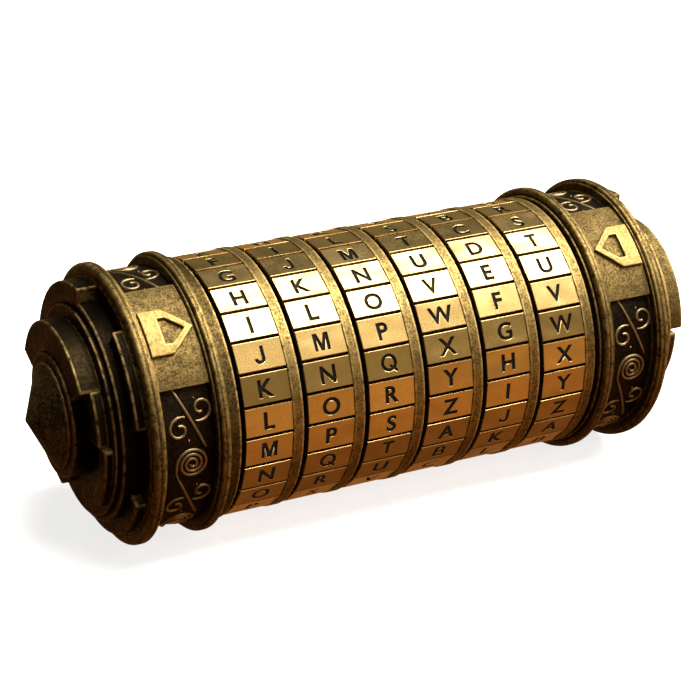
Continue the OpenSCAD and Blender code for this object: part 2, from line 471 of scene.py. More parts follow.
def new_material(name: str) -> tuple[Material, Tree, Node]:
    """Makes a material and returns it with its tree and its Principled shader.

    Args:
        name: Name of the material.

    Returns:
        The material, its tree and its shader.
    """
    material = bpy.data.materials.new(name)
    material.use_nodes = True
    return material, Tree(material.node_tree), material.node_tree.nodes["Principled BSDF"]


class Groups:
    """Shader groups that several finishes share, each built once."""

    COARSE_SIZE = 3.1  # size of the coarse grain, as a multiple of the fine grain's
    FINE_SHARE, COARSE_SHARE = 0.78, 0.22
    WEAR_SIZE = 1.2  # size of the gaps in the worn edges and their painted highlights

    def __init__(self) -> None:
        """Builds the three groups."""
        self.grain = self._grain()
        self.wear = self._wear()
        self.patina = self._patina()

    @staticmethod
    def _noise(group: Group, size: Value, detail: float, rough: float) -> NodeSocket:
        """Noise at the group's Vector, with blobs that are size millimetres across."""
        inputs = {"Vector": group.given["Vector"], "Scale": group.math("DIVIDE", 1 / MM, size)}
        return group.out("ShaderNodeTexNoise", {**inputs, "Detail": detail, "Roughness": rough}, "Fac")

    def _grain(self) -> NodeTree:
        """Cast grain: a speckle mask and a height for the bump.

        Returns:
            The tree of the group.
        """
        inputs = (("Vector", "Vector"), ("Size", "Float", 0.5), ("Contrast", "Float", 3.0))
        group = Group("cast_grain", "ShaderNodeTree", inputs, {"Speckle": "Float", "Height": "Float"})
        size = group.given["Size"]
        fine = self._noise(group, size, 4, 0.7)
        coarse = self._noise(group, group.math("MULTIPLY", size, self.COARSE_SIZE), 2, 0.5)
        shares = ((fine, self.FINE_SHARE), (coarse, self.COARSE_SHARE))
        height = group.math("ADD", *(group.math("MULTIPLY", noise, share) for noise, share in shares))
        scaled = group.math("MULTIPLY", group.math("SUBTRACT", height, 0.5), group.given["Contrast"])
        return group.deliver({"Speckle": group.math("ADD", scaled, 0.5, clamp=True), "Height": height})

    def _wear(self) -> NodeTree:
        """Edge wear and painted highlight: ridges rubbed bright, which also paints the highlights that light
        would put along crests, and creases filled with grime, both broken up.

        Returns:
            The tree of the group.
        """
        amounts = {"Edge": 0.0, "Breakup": self.WEAR_SIZE, "Amount": 1.0}
        inputs = [("Vector", "Vector")] + [(name, "Float", value) for name, value in amounts.items()]
        group = Group("edge_wear", "ShaderNodeTree", inputs, {"Worn": "Float", "Grimy": "Float"})
        noise = self._noise(group, group.given["Breakup"], 4, 0.7)
        ridge = group.math("MAXIMUM", group.given["Edge"], 0.0)
        crease = group.math("MAXIMUM", group.math("MULTIPLY", group.given["Edge"], -1.0), 0.0)
        # Ridges get the bright colour: partly rubbed wear, partly a painted highlight along the crests.
        ridge_shine = group.math("MULTIPLY", ridge, group.math("MULTIPLY_ADD", noise, 4.4, -1.5, clamp=True))
        worn_and_sheen = group.math("MULTIPLY", ridge_shine, group.given["Amount"], clamp=True)
        grimy = group.math("MULTIPLY", crease, group.math("ADD", noise, 0.45), clamp=True)
        return group.deliver({"Worn": worn_and_sheen, "Grimy": grimy})

    def _patina(self) -> NodeTree:
        """Antique patina: dark, base and bright metal mixed by grain, clouds, wear and the painted edge
        highlights.

        Returns:
            The tree of the group.
        """
        inputs = [(name, "Color") for name in ("Dark", "Base", "Bright")] + [("Vector", "Vector")]
        masks = {"Speckle": 0.5, "Worn": 0.0, "Grimy": 0.0, "Cloud": 6.0, "Tarnish": 0.3, "Polish": 0.3}
        inputs += [(name, "Float", value) for name, value in masks.items()]
        group = Group("antique_patina", "ShaderNodeTree", inputs, {"Color": "Color", "Roughness": "Float"})
        given = group.given
        cloud = self._noise(group, given["Cloud"], 3, 0.55)
        stain = group.math("MULTIPLY_ADD", cloud, 3.0, -1.1, clamp=True)
        stain = group.math("MULTIPLY", stain, given["Tarnish"])
        shade = group.math("SUBTRACT", given["Speckle"], stain, clamp=True)
        colour = given["Dark"]
        for factor, top in ((shade, "Base"), (given["Worn"], "Bright"), (given["Grimy"], "Dark")):
            colour = group.out("ShaderNodeMix", {0: factor, 6: colour, 7: given[top]}, 2, data_type="RGBA")
        rough = group.math("ADD", group.math("MULTIPLY_ADD", shade, -0.18, 0.16), given["Polish"])
        rough = group.math("MULTIPLY_ADD", given["Worn"], 0.1, rough)
        rough = group.math("MULTIPLY_ADD", given["Grimy"], 0.2, rough, clamp=True)
        return group.deliver({"Color": colour, "Roughness": rough})


@dataclass(frozen=True)
class Finish:
    """An antique metal finish.

    Attributes:
        name: Name of the material.
        dark: Patina colour in the low spots.
        base: Colour of the metal's face.
        bright: Colour of rubbed edges and of the painted edge highlights.
        polish: Roughness of the base metal.
        grain: Size of the speckle.
        contrast: Contrast of the speckle.
        bump: Depth of the grain.
        tarnish: Strength of the cloudy stains.
        cloud: Size of the stains.
        wear: Strength of the edge wear and of the painted edge highlights.
        brushed: Depth of the marks of a brush that ran round the axis.
        wavy: Depth of the slow unevenness that hand polishing leaves.
        toned: Whether each tile has its own tone.
    """

    name: str
    dark: Colour
    base: Colour
    bright: Colour
    polish: float
    grain: float = 0.3
    contrast: float = 3.0
    bump: float = 0.03
    tarnish: float = 0.3
    cloud: float = 4.0
    wear: float = 0.7
    brushed: float = 0.0
    wavy: float = 0.0
    toned: bool = False

    def build(self, groups: Groups) -> Material:
        """Builds the material.

        Args:
            groups: The shared shader groups.

        Returns:
            The material.
        """
        material, tree, shader = new_material(self.name)
        where = {"Vector": tree.out("ShaderNodeTexCoord", output="Object")}
        edge = tree.out("ShaderNodeAttribute", output="Fac", attribute_name=EDGE)
        speckle = {**where, "Size": self.grain, "Contrast": self.contrast}
        grain = tree.put("ShaderNodeGroup", speckle, node_tree=groups.grain).outputs
        wear = {**where, "Edge": edge, "Amount": self.wear}
        wear = tree.put("ShaderNodeGroup", wear, node_tree=groups.wear).outputs
        colours = {"Dark": (*self.dark, 1), "Base": (*self.base, 1), "Bright": (*self.bright, 1)}
        masks = {"Speckle": grain["Speckle"], "Worn": wear["Worn"], "Grimy": wear["Grimy"]}
        amounts = {"Cloud": self.cloud, "Tarnish": self.tarnish, "Polish": self.polish}
        patina = {**where, **colours, **masks, **amounts}
        patina = tree.put("ShaderNodeGroup", patina, node_tree=groups.patina).outputs
        colour = patina["Color"]
        if self.toned:
            tone = tree.out("ShaderNodeAttribute", output="Fac", attribute_name=TONE)
            value = tree.math("MULTIPLY_ADD", tone, TONE_RANGE, 1 - TONE_RANGE + TONE_LIFT)
            colour = tree.out("ShaderNodeHueSaturation", {"Color": colour, "Value": value})
        normal = self._bump(tree, grain["Height"], self.bump)
        if self.brushed:
            lines = tree.out("ShaderNodeMapping", {**where, "Scale": BRUSH_SCALE})
            marks = tree.out("ShaderNodeTexNoise", {"Vector": lines, "Scale": 1.0, "Detail": 2.0}, "Fac")
            normal = self._bump(tree, marks, self.brushed, normal)
        if self.wavy:
            slow = {**where, "Scale": 1 / (self.cloud * MM), "Detail": 1.0}
            normal = self._bump(tree, tree.out("ShaderNodeTexNoise", slow, "Fac"), self.wavy, normal)
        looks = {"Base Color": colour, "Roughness": patina["Roughness"], "Normal": normal}
        tree.feed(shader, {**looks, "Metallic": 1.0})
        return material

    @staticmethod
    def _bump(tree: Tree, height: NodeSocket, depth: float, under: NodeSocket | None = None) -> NodeSocket:
        """Adds a bump of a depth over another one, and returns its normal."""
        inputs = {"Height": height, "Distance": depth * MM, "Strength": 1.0}
        return tree.out("ShaderNodeBump", inputs if under is None else {**inputs, "Normal": under})


class Palette:
    """All the finishes of the cryptex, built once."""

    BRIGHT = (0.86, 0.66, 0.30)
    BRASS = (0.78, 0.58, 0.25)
    BLACK = (0.008, 0.006, 0.004)
    FINISHES = (
        Finish(
            "tile_brass", (0.58, 0.4, 0.16), BRASS, (0.7, 0.51, 0.22), polish=0.2, grain=0.4,
            contrast=1.3, bump=0.003, tarnish=0.25, cloud=5, wear=0.4, brushed=0.004, wavy=0.3,
            toned=True,
        ),
        Finish(
            "band_bronze", (0.11, 0.075, 0.03), (0.42, 0.295, 0.1), BRASS, polish=0.44, contrast=4.6,
            bump=0.04, tarnish=0.25, cloud=5, wear=0.6,
        ),
        # Near-black ground of the dials: painted shade in the gaps beside and between the tiles.
        Finish(
            "groove_patina", BLACK, (0.025, 0.017, 0.01), (0.12, 0.08, 0.04), polish=0.55, grain=0.4,
            contrast=2, cloud=6, wear=0.3,
        ),
        Finish(
            "collar_bronze", (0.04, 0.027, 0.012), (0.175, 0.122, 0.04), (0.66, 0.46, 0.17), polish=0.48,
            contrast=5, bump=0.05, tarnish=0.35, cloud=6, wear=0.75,
        ),
        Finish(
            "frieze_patina", BLACK, (0.045, 0.031, 0.02), (0.3, 0.2, 0.09), polish=0.5, grain=0.35,
            bump=0.04, tarnish=0.4, wear=0.4,
        ),
        Finish(
            "scroll_bronze", (0.2, 0.14, 0.07), (0.56, 0.43, 0.24), BRIGHT, polish=0.38, bump=0.02,
            tarnish=0.2, cloud=3, wear=0.8,
        ),
        Finish(
            "plate_bronze", (0.08, 0.054, 0.022), (0.25, 0.175, 0.062), (0.5, 0.36, 0.14), polish=0.54,
            contrast=5, bump=0.05,
        ),
        Finish(
            "arrow_bronze", (0.2, 0.14, 0.05), (0.44, 0.31, 0.11), (0.7, 0.5, 0.2), polish=0.46,
            grain=0.32, contrast=3.6, tarnish=0.2,
        ),
        # Near-black for the left end cap: painted shade on the end that the light doesn't reach; the right
        # end cap takes collar_bronze.
        Finish(
            "end_bronze", (0.007, 0.005, 0.003), (0.016, 0.011, 0.006), (0.36, 0.24, 0.1), polish=0.44,
            grain=0.45, contrast=3.6, bump=0.04, tarnish=0.5, cloud=5,
        ),
        # Near-black for the left crown: painted shade; the right crown takes plate_bronze.
        Finish(
            "crown_bronze", (0.014, 0.01, 0.005), (0.028, 0.021, 0.009), (0.42, 0.29, 0.12), polish=0.44,
            grain=0.4, contrast=4.2, bump=0.05, tarnish=0.4,
        ),
        Finish(
            "cone_bronze", (0.04, 0.027, 0.013), (0.3, 0.22, 0.095), (0.6, 0.42, 0.18), polish=0.55,
            grain=0.4, contrast=4.6, bump=0.06, tarnish=0.4, wear=0.5,
        ),
        Finish(
            "end_brown", (0.014, 0.008, 0.005), (0.11, 0.046, 0.022), (0.46, 0.3, 0.13), polish=0.42,
            grain=0.45, contrast=3.4, tarnish=0.5, cloud=5, wear=0.6,
        ),
        Finish(
            "tube_brass", (0.42, 0.28, 0.1), (0.72, 0.53, 0.24), BRIGHT, polish=0.24, grain=0.6,
            contrast=1.8, bump=0.006, cloud=9, wear=0.8, brushed=0.006,
        ),
        # Blackened steel for the dial clips, kept near-black partly as painted shade in the gaps where they
        # sit.
        Finish(
            "clip_steel", (0.02, 0.018, 0.016), (0.07, 0.062, 0.052), (0.2, 0.18, 0.15), polish=0.46,
            grain=0.5, contrast=2.4, bump=0.006, cloud=6, wear=0.5,
        ),
        Finish(
            "steel", (0.2, 0.2, 0.2), (0.45, 0.45, 0.44), (0.7, 0.7, 0.69), polish=0.32, grain=0.5,
            contrast=1.8, bump=0.004, tarnish=0.2, cloud=6, wear=0.8,
        ),
    )

    def __init__(self) -> None:
        """Builds every finish."""
        groups = Groups()
        self.all = {finish.name: finish.build(groups) for finish in self.FINISHES}
        self.all["letter_paint"] = self._paint()

    @staticmethod
    def _paint() -> Material:
        """Black paint in the engraved letters, a little dusty.

        Returns:
            The material.
        """
        material, tree, shader = new_material("letter_paint")
        where = tree.out("ShaderNodeTexCoord", output="Object")
        dust = tree.out("ShaderNodeTexNoise", {"Vector": where, "Scale": 3500.0, "Detail": 3.0}, "Fac")
        ramp = tree.put("ShaderNodeValToRGB", {"Fac": dust})
        ramp.color_ramp.elements[0].color = (0.002, 0.0018, 0.0015, 1)
        ramp.color_ramp.elements[1].color = (0.014, 0.01, 0.007, 1)
        rough = tree.math("MULTIPLY_ADD", dust, 0.3, 0.4)
        looks = {"Base Color": ramp.outputs["Color"], "Roughness": rough, "Specular IOR Level": 0.12}
        tree.feed(shader, looks)
        return material

    def __getitem__(self, name: str) -> Material:
        """The material with that name."""
        return self.all[name]


# ---- Dials ----

TILE_FINISHES = 3  # metal, lip and paint
LIP, PAINT = 1, 2  # their indices in a tile's mesh
LETTER_MERGE = MM * 1e-3  # distance at which points of a letter become one
ARC_STEPS = 16
LEVEL = 0.99  # height of a normal above which a face counts as level
RIM_EDGE = 0.75  # edge value of a tile's rim


@dataclass(frozen=True)
class LetterTile:
    """One flat tile with an engraved letter, drawn at the top of the axis with its left face at X 0.

    Attributes:
        width: Size along the axis.
        across: Size round the axis.
        foot_r: Radius of its foot.
        face_r: Radius of its face.
        soft: Rounding of its edges.
        cap_height: Height of the letter.
        lip: Slope round the letter.
        depth: Depth of the engraving.
        bold: How much the built-in letters are thickened, as a share of the letter size.
        stroke: Stroke of the letters that are drawn here, as a share of the letter size.
        tall: Height of a capital, as a share of the letter size.
        drawn: Letters that are drawn here, because the built-in ones can't be cut cleanly.
    """

    width: float = 7.5
    across: float = 4.32
    foot_r: float = 19.3
    face_r: float = 19.854
    soft: float = 0.07
    cap_height: float = 2.62
    lip: float = 0.045
    depth: float = 0.24
    bold: float = 0.026
    stroke: float = 0.134
    tall: float = 0.72
    drawn: str = "BJMQT"

    def build(self, letter: str) -> Object:
        """Cuts a letter into a tile.

        Args:
            letter: Capital letter.

        Returns:
            The tile as an object that isn't in the scene.
        """
        blank = bpy.data.objects.new(f"tile_{letter}", self._blank())
        cutters = self._cutters(letter, self.lip, LIP) + self._cutters(letter, 0.0, PAINT)
        link(blank)
        for cutter in cutters:
            cut = blank.modifiers.new("cut", "BOOLEAN")
            cut.operation, cut.solver, cut.material_mode = "DIFFERENCE", "EXACT", "INDEX"
            cut.object = link(cutter)
        mesh = evaluate(blank)
        blank.modifiers.clear()
        blank.data = mesh
        bpy.context.scene.collection.objects.unlink(blank)
        for cutter in cutters:
            bpy.data.objects.remove(cutter)
        self._mark(mesh)
        return blank

    def _blank(self) -> Mesh:
        """The plain tile with softened edges.

        Returns:
            The mesh, with three empty material slots.
        """
        shape = bmesh.new()
        half, bend = self.across / 2, self.soft * 0.3
        levels = (
            (self.foot_r, 0.0),
            (self.face_r - self.soft, 0.0),
            (self.face_r - bend, bend),
            (self.face_r, self.soft),
        )
        rows = []
        for r, d in levels:
            low, high, far = d - half, half - d, self.width - d
            corners = ((d, low), (far, low), (far, high), (d, high))
            rows.append([shape.verts.new((x * MM, y * MM, r * MM)) for x, y in corners])
        for a, b in zip(rows, rows[1:]):
            for i in range(4):
                shape.faces.new((a[i], a[(i + 1) % 4], b[(i + 1) % 4], b[i]))
        shape.faces.new(list(reversed(rows[0])))
        shape.faces.new(rows[-1])
        mesh = bpy.data.meshes.new("tile")
        shape.to_mesh(mesh)
        shape.free()
        for _ in range(TILE_FINISHES):
            mesh.materials.append(None)
        return mesh

    def _cutters(self, letter: str, lip: float, finish: int) -> list[Object]:
        """Solid letter that stands in the tile's face; with a lip it is wider at the face.

        Args:
            letter: Capital letter.
            lip: Width of the slope round the letter, or 0 for a straight cut.
            finish: Finish index of the cut faces.

        Returns:
            One object for each part of the letter.
        """
        size = self.cap_height / self.tall
        extrude = self.lip * 2 if lip else self.depth
        if letter in self.drawn:
            curves = [self._outline(loops, size) for loops in self._loops(letter)]
        else:
            curves = [self._glyph(letter, size)]
        meshes = []
        for curve in curves:
            curve.resolution_u = 4
            curve.fill_mode = "BOTH"
            curve.extrude = extrude * MM
            curve.bevel_depth = lip * MM
            curve.bevel_resolution = 0
            flat = link(bpy.data.objects.new("flat", curve))
            meshes.append(evaluate(flat))
            bpy.data.objects.remove(flat)
        xs = [v.co.x for mesh in meshes for v in mesh.vertices]
        lift = self.face_r * MM + (self.lip * 2 * MM if lip else 0)
        shift = Vector((self.width / 2 * MM - (min(xs) + max(xs)) / 2, -self.cap_height / 2 * MM, lift))
        return [self._solid(mesh, shift, finish) for mesh in meshes]

    @staticmethod
    def _solid(mesh: Mesh, shift: Vector, finish: int) -> Object:
        """Moves a letter's mesh, closes it, gives its faces one finish and makes it an object.

        Args:
            mesh: Mesh of one part of the letter.
            shift: Move to its place in the tile.
            finish: Finish index of its faces.

        Returns:
            The cutter.
        """
        shape = bmesh.new()
        shape.from_mesh(mesh)
        bmesh.ops.translate(shape, verts=shape.verts, vec=shift)
        bmesh.ops.remove_doubles(shape, verts=shape.verts, dist=LETTER_MERGE)
        bmesh.ops.recalc_face_normals(shape, faces=shape.faces)
        for face in shape.faces:
            face.material_index = finish
        shape.to_mesh(mesh)
        shape.free()
        while len(mesh.materials) < TILE_FINISHES:
            mesh.materials.append(None)
        return bpy.data.objects.new("cutter", mesh)

    def _glyph(self, letter: str, size: float) -> Curve:
        """A capital of the built-in plain face, made bolder.

        Args:
            letter: Capital letter.
            size: Size of the letter.

        Returns:
            The curve.
        """
        curve = bpy.data.curves.new("glyph", "FONT")
        curve.body = letter
        curve.size = size * MM
        curve.offset = self.bold * size * MM
        return curve

    @staticmethod
    def _outline(loops: Sequence[Sequence[Pair]], size: float) -> Curve:
        """A flat curve from closed loops, where an inner loop is a hole.

        Args:
            loops: Loops, in shares of the letter size.
            size: Size of the letter.

        Returns:
            The curve.
        """
        curve = bpy.data.curves.new("drawn", "CURVE")
        curve.dimensions = "2D"
        for loop in loops:
            spline = curve.splines.new("POLY")
            spline.points.add(len(loop) - 1)
            for target, (x, y) in zip(spline.points, loop):
                target.co = (x * size * MM, y * size * MM, 0, 1)
            spline.use_cyclic_u = True
        return curve

    @staticmethod
    def _arc(middle: Pair, radii: Pair, first: float, last: float) -> list[Pair]:
        """Points of an elliptic arc between two angles in degrees.

        Args:
            middle: Middle of the ellipse.
            radii: Its two radii.
            first: First angle.
            last: Last angle.

        Returns:
            The points.
        """
        made = []
        for k in range(ARC_STEPS + 1):
            angle = math.radians(first + (last - first) * k / ARC_STEPS)
            made.append((middle[0] + radii[0] * math.cos(angle), middle[1] + radii[1] * math.sin(angle)))
        return made

    def _bowl(self, wide: float, low: float, high: float) -> list[list[Pair]]:
        """A D shape with its hole, between two heights.

        Args:
            wide: Width.
            low: Height of its foot.
            high: Height of its top.

        Returns:
            The outer loop and the hole.
        """
        t = self.stroke
        radius, middle = (high - low) / 2, (high + low) / 2
        outer = [(0, high), (0, low)] + self._arc((wide - radius, middle), (radius, radius), -90, 90)
        inner = radius - t * 0.85
        hole = [(t, middle + inner), (t, middle - inner)]
        hole += self._arc((wide - radius, middle), (radius - t, inner), -90, 90)
        return [outer, hole]

    def _loops(self, letter: str) -> list[list[list[Pair]]]:
        """Loops of the letters that are drawn here, a list for each part, in shares of the letter size.

        Args:
            letter: One of the drawn letters.

        Returns:
            The loops of each part.
        """
        t, tall = self.stroke, self.tall
        if letter == "B":
            return [self._bowl(0.54, 0, 0.415), self._bowl(0.50, 0.305, tall)]
        if letter == "J":
            wide = 0.45
            out, rim = wide / 2, wide / 2 - t
            hook = [(wide, tall), (wide - t, tall)] + self._arc((out, out), (rim, rim), 0, -180)
            return [[hook + self._arc((out, out), (out, out), -180, 0)]]
        if letter == "M":
            wide, foot = 0.68, 0.55 * t
            left = [(wide / 2 - foot, 0), (t, tall - 0.24), (t, 0), (0, 0), (0, tall), (1.35 * t, tall)]
            right = [(wide - x, y) for x, y in reversed(left)]
            return [[left + [(wide / 2, 1.9 * t)] + right]]
        if letter == "Q":
            middle, wide, high = (0.36, tall / 2), 0.36, tall / 2 + 0.012
            ring = [self._arc(middle, (wide - d, high - d), 0, 348) for d in (0, t)]
            tail = [(0.36, 0.22), (0.43, 0.29), (0.74, 0.02), (0.67, -0.06)]
            return [ring, [tail]]
        arm, half, thinner = tall - t, 0.26, 0.003
        left = [(-half, tall), (-half, arm), (-t / 2, arm), (-t / 2, 0)]
        right = [(t / 2, 0), (t / 2, arm + thinner), (half, arm + thinner), (half, tall)]
        return [[left + right]]

    def _mark(self, mesh: Mesh) -> None:
        """Writes the edge and engraved attributes of a cut tile, face by face.

        Args:
            mesh: Mesh of the cut tile.
        """
        edge = mesh.attributes.new(EDGE, "FLOAT", "FACE")
        engraved = mesh.attributes.new(ENGRAVED, "FLOAT", "FACE")
        rim = (self.face_r - self.soft - 0.01) * MM
        for face in mesh.polygons:
            slanted = abs(face.normal.z) < LEVEL and face.center.z > rim and face.material_index == 0
            edge.data[face.index].value = 1.0 if face.material_index == LIP else RIM_EDGE * slanted
            engraved.data[face.index].value = float(face.material_index == PAINT)


class TileRow:
    """Geometry Nodes tree that sets the 26 letter tiles round a dial."""

    def __init__(self, palette: Palette, tile: LetterTile) -> None:
        """Makes the tiles and the tree.

        Args:
            palette: Finishes.
            tile: Sizes of one tile.
        """
        self.palette = palette
        self.tiles = bpy.data.collections.new("letter_tiles")
        for letter in ALPHABET:
            self.tiles.objects.link(tile.build(letter))
        self.group = self._group()

    def _group(self) -> Group:
        """Builds the tree: a point for each letter, the tile that it picks, its turn and its tone.

        Returns:
            The finished group.
        """
        inputs = (
            ("Tiles", "Collection"),
            ("Letters", "Int", len(ALPHABET)),
            ("First letter", "Int", 0),
            ("First turn", "Float", 0.0),
            ("Step", "Float", math.radians(LETTER_STEP)),
            ("Left face", "Float", 0.0),
            ("Seed", "Int", 3),
            ("Metal", "Material"),
            ("Paint", "Material"),
        )
        group = Group("letters_round_dial", "GeometryNodeTree", inputs, {"Geometry": "Geometry"})
        given = group.given
        points = group.out("GeometryNodePoints", {"Count": given["Letters"]})
        index = group.out("GeometryNodeInputIndex")
        turn = group.math("MULTIPLY_ADD", index, given["Step"], given["First turn"])
        picked = group.math("MODULO", group.math("ADD", index, given["First letter"]), given["Letters"])
        source = {"Collection": given["Tiles"], "Separate Children": True, "Reset Children": True}
        shapes = group.out("GeometryNodeCollectionInfo", source)
        choice = {"Instance": shapes, "Pick Instance": True, "Instance Index": picked}
        rotation = group.out("ShaderNodeCombineXYZ", {"X": turn})
        stood = {"Points": points, "Rotation": rotation, **choice}
        placed = group.out("GeometryNodeInstanceOnPoints", stood)
        offset = group.out("ShaderNodeCombineXYZ", {"X": given["Left face"]})
        shift = {"Instances": placed, "Translation": offset, "Local Space": False}
        moved = group.out("GeometryNodeTranslateInstances", shift)
        tone = group.out("FunctionNodeRandomValue", {"Seed": given["Seed"]}, 1, data_type="FLOAT")
        toned = {"Geometry": moved, "Name": TONE, "Value": tone}
        toned = group.out("GeometryNodeStoreNamedAttribute", toned, domain="INSTANCE", data_type="FLOAT")
        real = group.out("GeometryNodeRealizeInstances", {"Geometry": toned})
        metal = group.out("GeometryNodeSetMaterial", {"Geometry": real, "Material": given["Metal"]})
        cut = group.out("GeometryNodeInputNamedAttribute", {"Name": ENGRAVED}, data_type="FLOAT")
        cut = group.math("GREATER_THAN", cut, 0.5)
        paint = {"Geometry": metal, "Selection": cut, "Material": given["Paint"]}
        group.deliver({"Geometry": group.out("GeometryNodeSetMaterial", paint)})
        return group

    def build(self, name: str, first: int, elevation: float, left: float, seed: int) -> Mesh:
        """Runs the tree for one dial.

        Args:
            name: Name of the mesh.
            first: Index of the letter in the code row.
            elevation: Elevation of the code row's tile.
            left: Left face of the dial.
            seed: Seed of the tones.

        Returns:
            The tiles of the dial.
        """
        turn = {"First letter": first, "First turn": math.radians(90 - elevation), "Left face": left * MM}
        finishes = {"Metal": self.palette["tile_brass"], "Paint": self.palette["letter_paint"]}
        return self.group.run(name, {"Tiles": self.tiles, "Seed": seed, **turn, **finishes})

    def clear(self) -> None:
        """Removes the loose tiles."""
        for tile in list(self.tiles.objects):
            bpy.data.objects.remove(tile)
        bpy.data.collections.remove(self.tiles)


@dataclass
class Dial:
    """One letter dial: a core with a band on its right, and the ring of tiles.

    Attributes:
        number: Number of the dial, from the left.
        letter: Letter in the code row.
        play: Turn past the code row, in degrees.
        code_elevation: Elevation of the code row.
        first_face: Left face of the first dial.
        pitch: Distance from dial to dial.
        tile_w: Width of the tiles.
        width: Width of the dial.
        band_r: Radius of the band.
        ground_r: Radius of the ground under the tiles.
        bore_r: Radius of the bore.
        key_depth: Depth of the bore's key notches.
        key_half: Half of a notch's width.
        free_points: Points of the bore between two notches.
    """

    number: int
    letter: str
    play: float
    code_elevation: float = 47.4
    first_face: float = -28.8
    pitch: float = 10.0
    tile_w: float = 7.5
    width: float = 9.2
    band_r: float = 20.1
    ground_r: float = 19.45
    bore_r: float = 16.45
    key_depth: float = 0.5
    key_half: float = 0.75
    free_points: int = 5

    @property
    def left(self) -> float:
        """Left face of the dial."""
        return self.first_face + (self.number - 1) * self.pitch

    @property
    def elevation(self) -> float:
        """Elevation of the tile in the code row."""
        return self.code_elevation + self.play

    def _bore(self) -> list[Vector]:
        """Outline of the bore with a key notch under each letter, in the plane across the axis.

        Returns:
            The points, from the code row on.
        """
        made = []
        corner = math.sqrt(self.bore_r**2 - self.key_half**2)
        floor = self.bore_r + self.key_depth
        edge = math.degrees(math.asin(self.key_half / self.bore_r))
        free = LETTER_STEP - 2 * edge
        for k in range(len(ALPHABET)):
            here = self.elevation + k * LETTER_STEP
            out, along = radial(here), radial(here + 90) * self.key_half
            made += [out * corner - along, out * floor - along, out * floor + along, out * corner + along]
            for i in range(self.free_points):
                made.append(radial(here + edge + free * (i + 1) / (self.free_points + 1)) * self.bore_r)
        return made

    def _core(self) -> Mesh:
        """The core: near-black ground under the tiles, which paints the shade in the gaps, and the plain
        band.

        Returns:
            The mesh.
        """
        right = self.left + self.width
        seam = self.left + self.tile_w
        profile = (
            (self.left, self.bore_r, 0, 0),
            (self.left, self.ground_r, 0.1, 0),
            (seam, self.ground_r, 0.06, 1),
            (seam, self.band_r, 0.16, 1),
            (right, self.band_r, 0.22, 1),
            (right, self.bore_r, 0, 0),
        )
        section = soften([Corner(x, r, soft, finish=finish) for x, r, soft, finish in profile])
        rings = []
        for spot in self._bore():
            ring = []
            for p in section:
                across = spot if p.r == self.bore_r else spot.normalized() * p.r
                ring.append(((Vector((p.x, 0, 0)) + across) * MM, p.edge))
            rings.append(ring)
        shape = bmesh.new()
        skin(shape, rings, [p.finish for p in section], closed=True)
        return close_mesh(shape, f"dial_{self.number}_core")

    def build(self, palette: Palette, row: TileRow) -> None:
        """Adds the core and the tiles of the dial.

        Args:
            palette: Finishes.
            row: Maker of tile rings.
        """
        body = f"dial_{self.number}"
        # The ground's near-black finish is painted shade in the gaps between tiles and dials.
        finishes = [palette["groove_patina"], palette["band_bronze"]]
        node = f"letter_ring_{self.number}"
        add_piece(f"{body}_core", self._core(), finishes, body, "tile_brass", node)
        first = ALPHABET.index(self.letter)
        tiles = row.build(f"{body}_tiles", first, self.elevation, self.left, self.number)
        add_piece(f"{body}_tiles", tiles, [], body, "tile_brass", node)


# ---- Collars ----

OUTLINE_STEPS = 10  # points on each side of an arrow's outline
SPIRAL_STEPS = 40  # points on each turn of a spiral
STEM_STEPS = 12
TAIL_STEPS = 8


@dataclass
class Fitting:
    """A fitting of one side, drawn for the right side, that rides on that side's body."""

    side: Side

    def turn(self, shape: BMesh, corners: Sequence[Corner], steps: int = 300) -> None:
        """Turns a half-section round the axis on the fitting's side."""
        turn_section(shape, mirrored(corners, self.side), steps)

    def sweep(self, shape: BMesh, corners: Sequence[Corner], low: float, high: float, soft: float) -> None:
        """Sweeps a half-section between two elevations on the fitting's side."""
        sweep_section(shape, mirrored(corners, self.side), low, high, soft)

    def add(self, shape: BMesh, piece: str, node: str, slot: str, finishes: Sequence[Material]) -> None:
        """Closes a shape and adds it as a piece.

        Args:
            shape: The shape, which is freed.
            piece: Name of the piece without its side.
            node: Name of the CAD node that it replaces, without its side.
            slot: Material slot of the record.
            finishes: Materials, in the order of the shape's indices.
        """
        name = f"{self.side.word}_{piece}"
        mesh = close_mesh(shape, name)
        add_piece(name, mesh, finishes, self.side.body, slot, f"{self.side.word}_{node}")


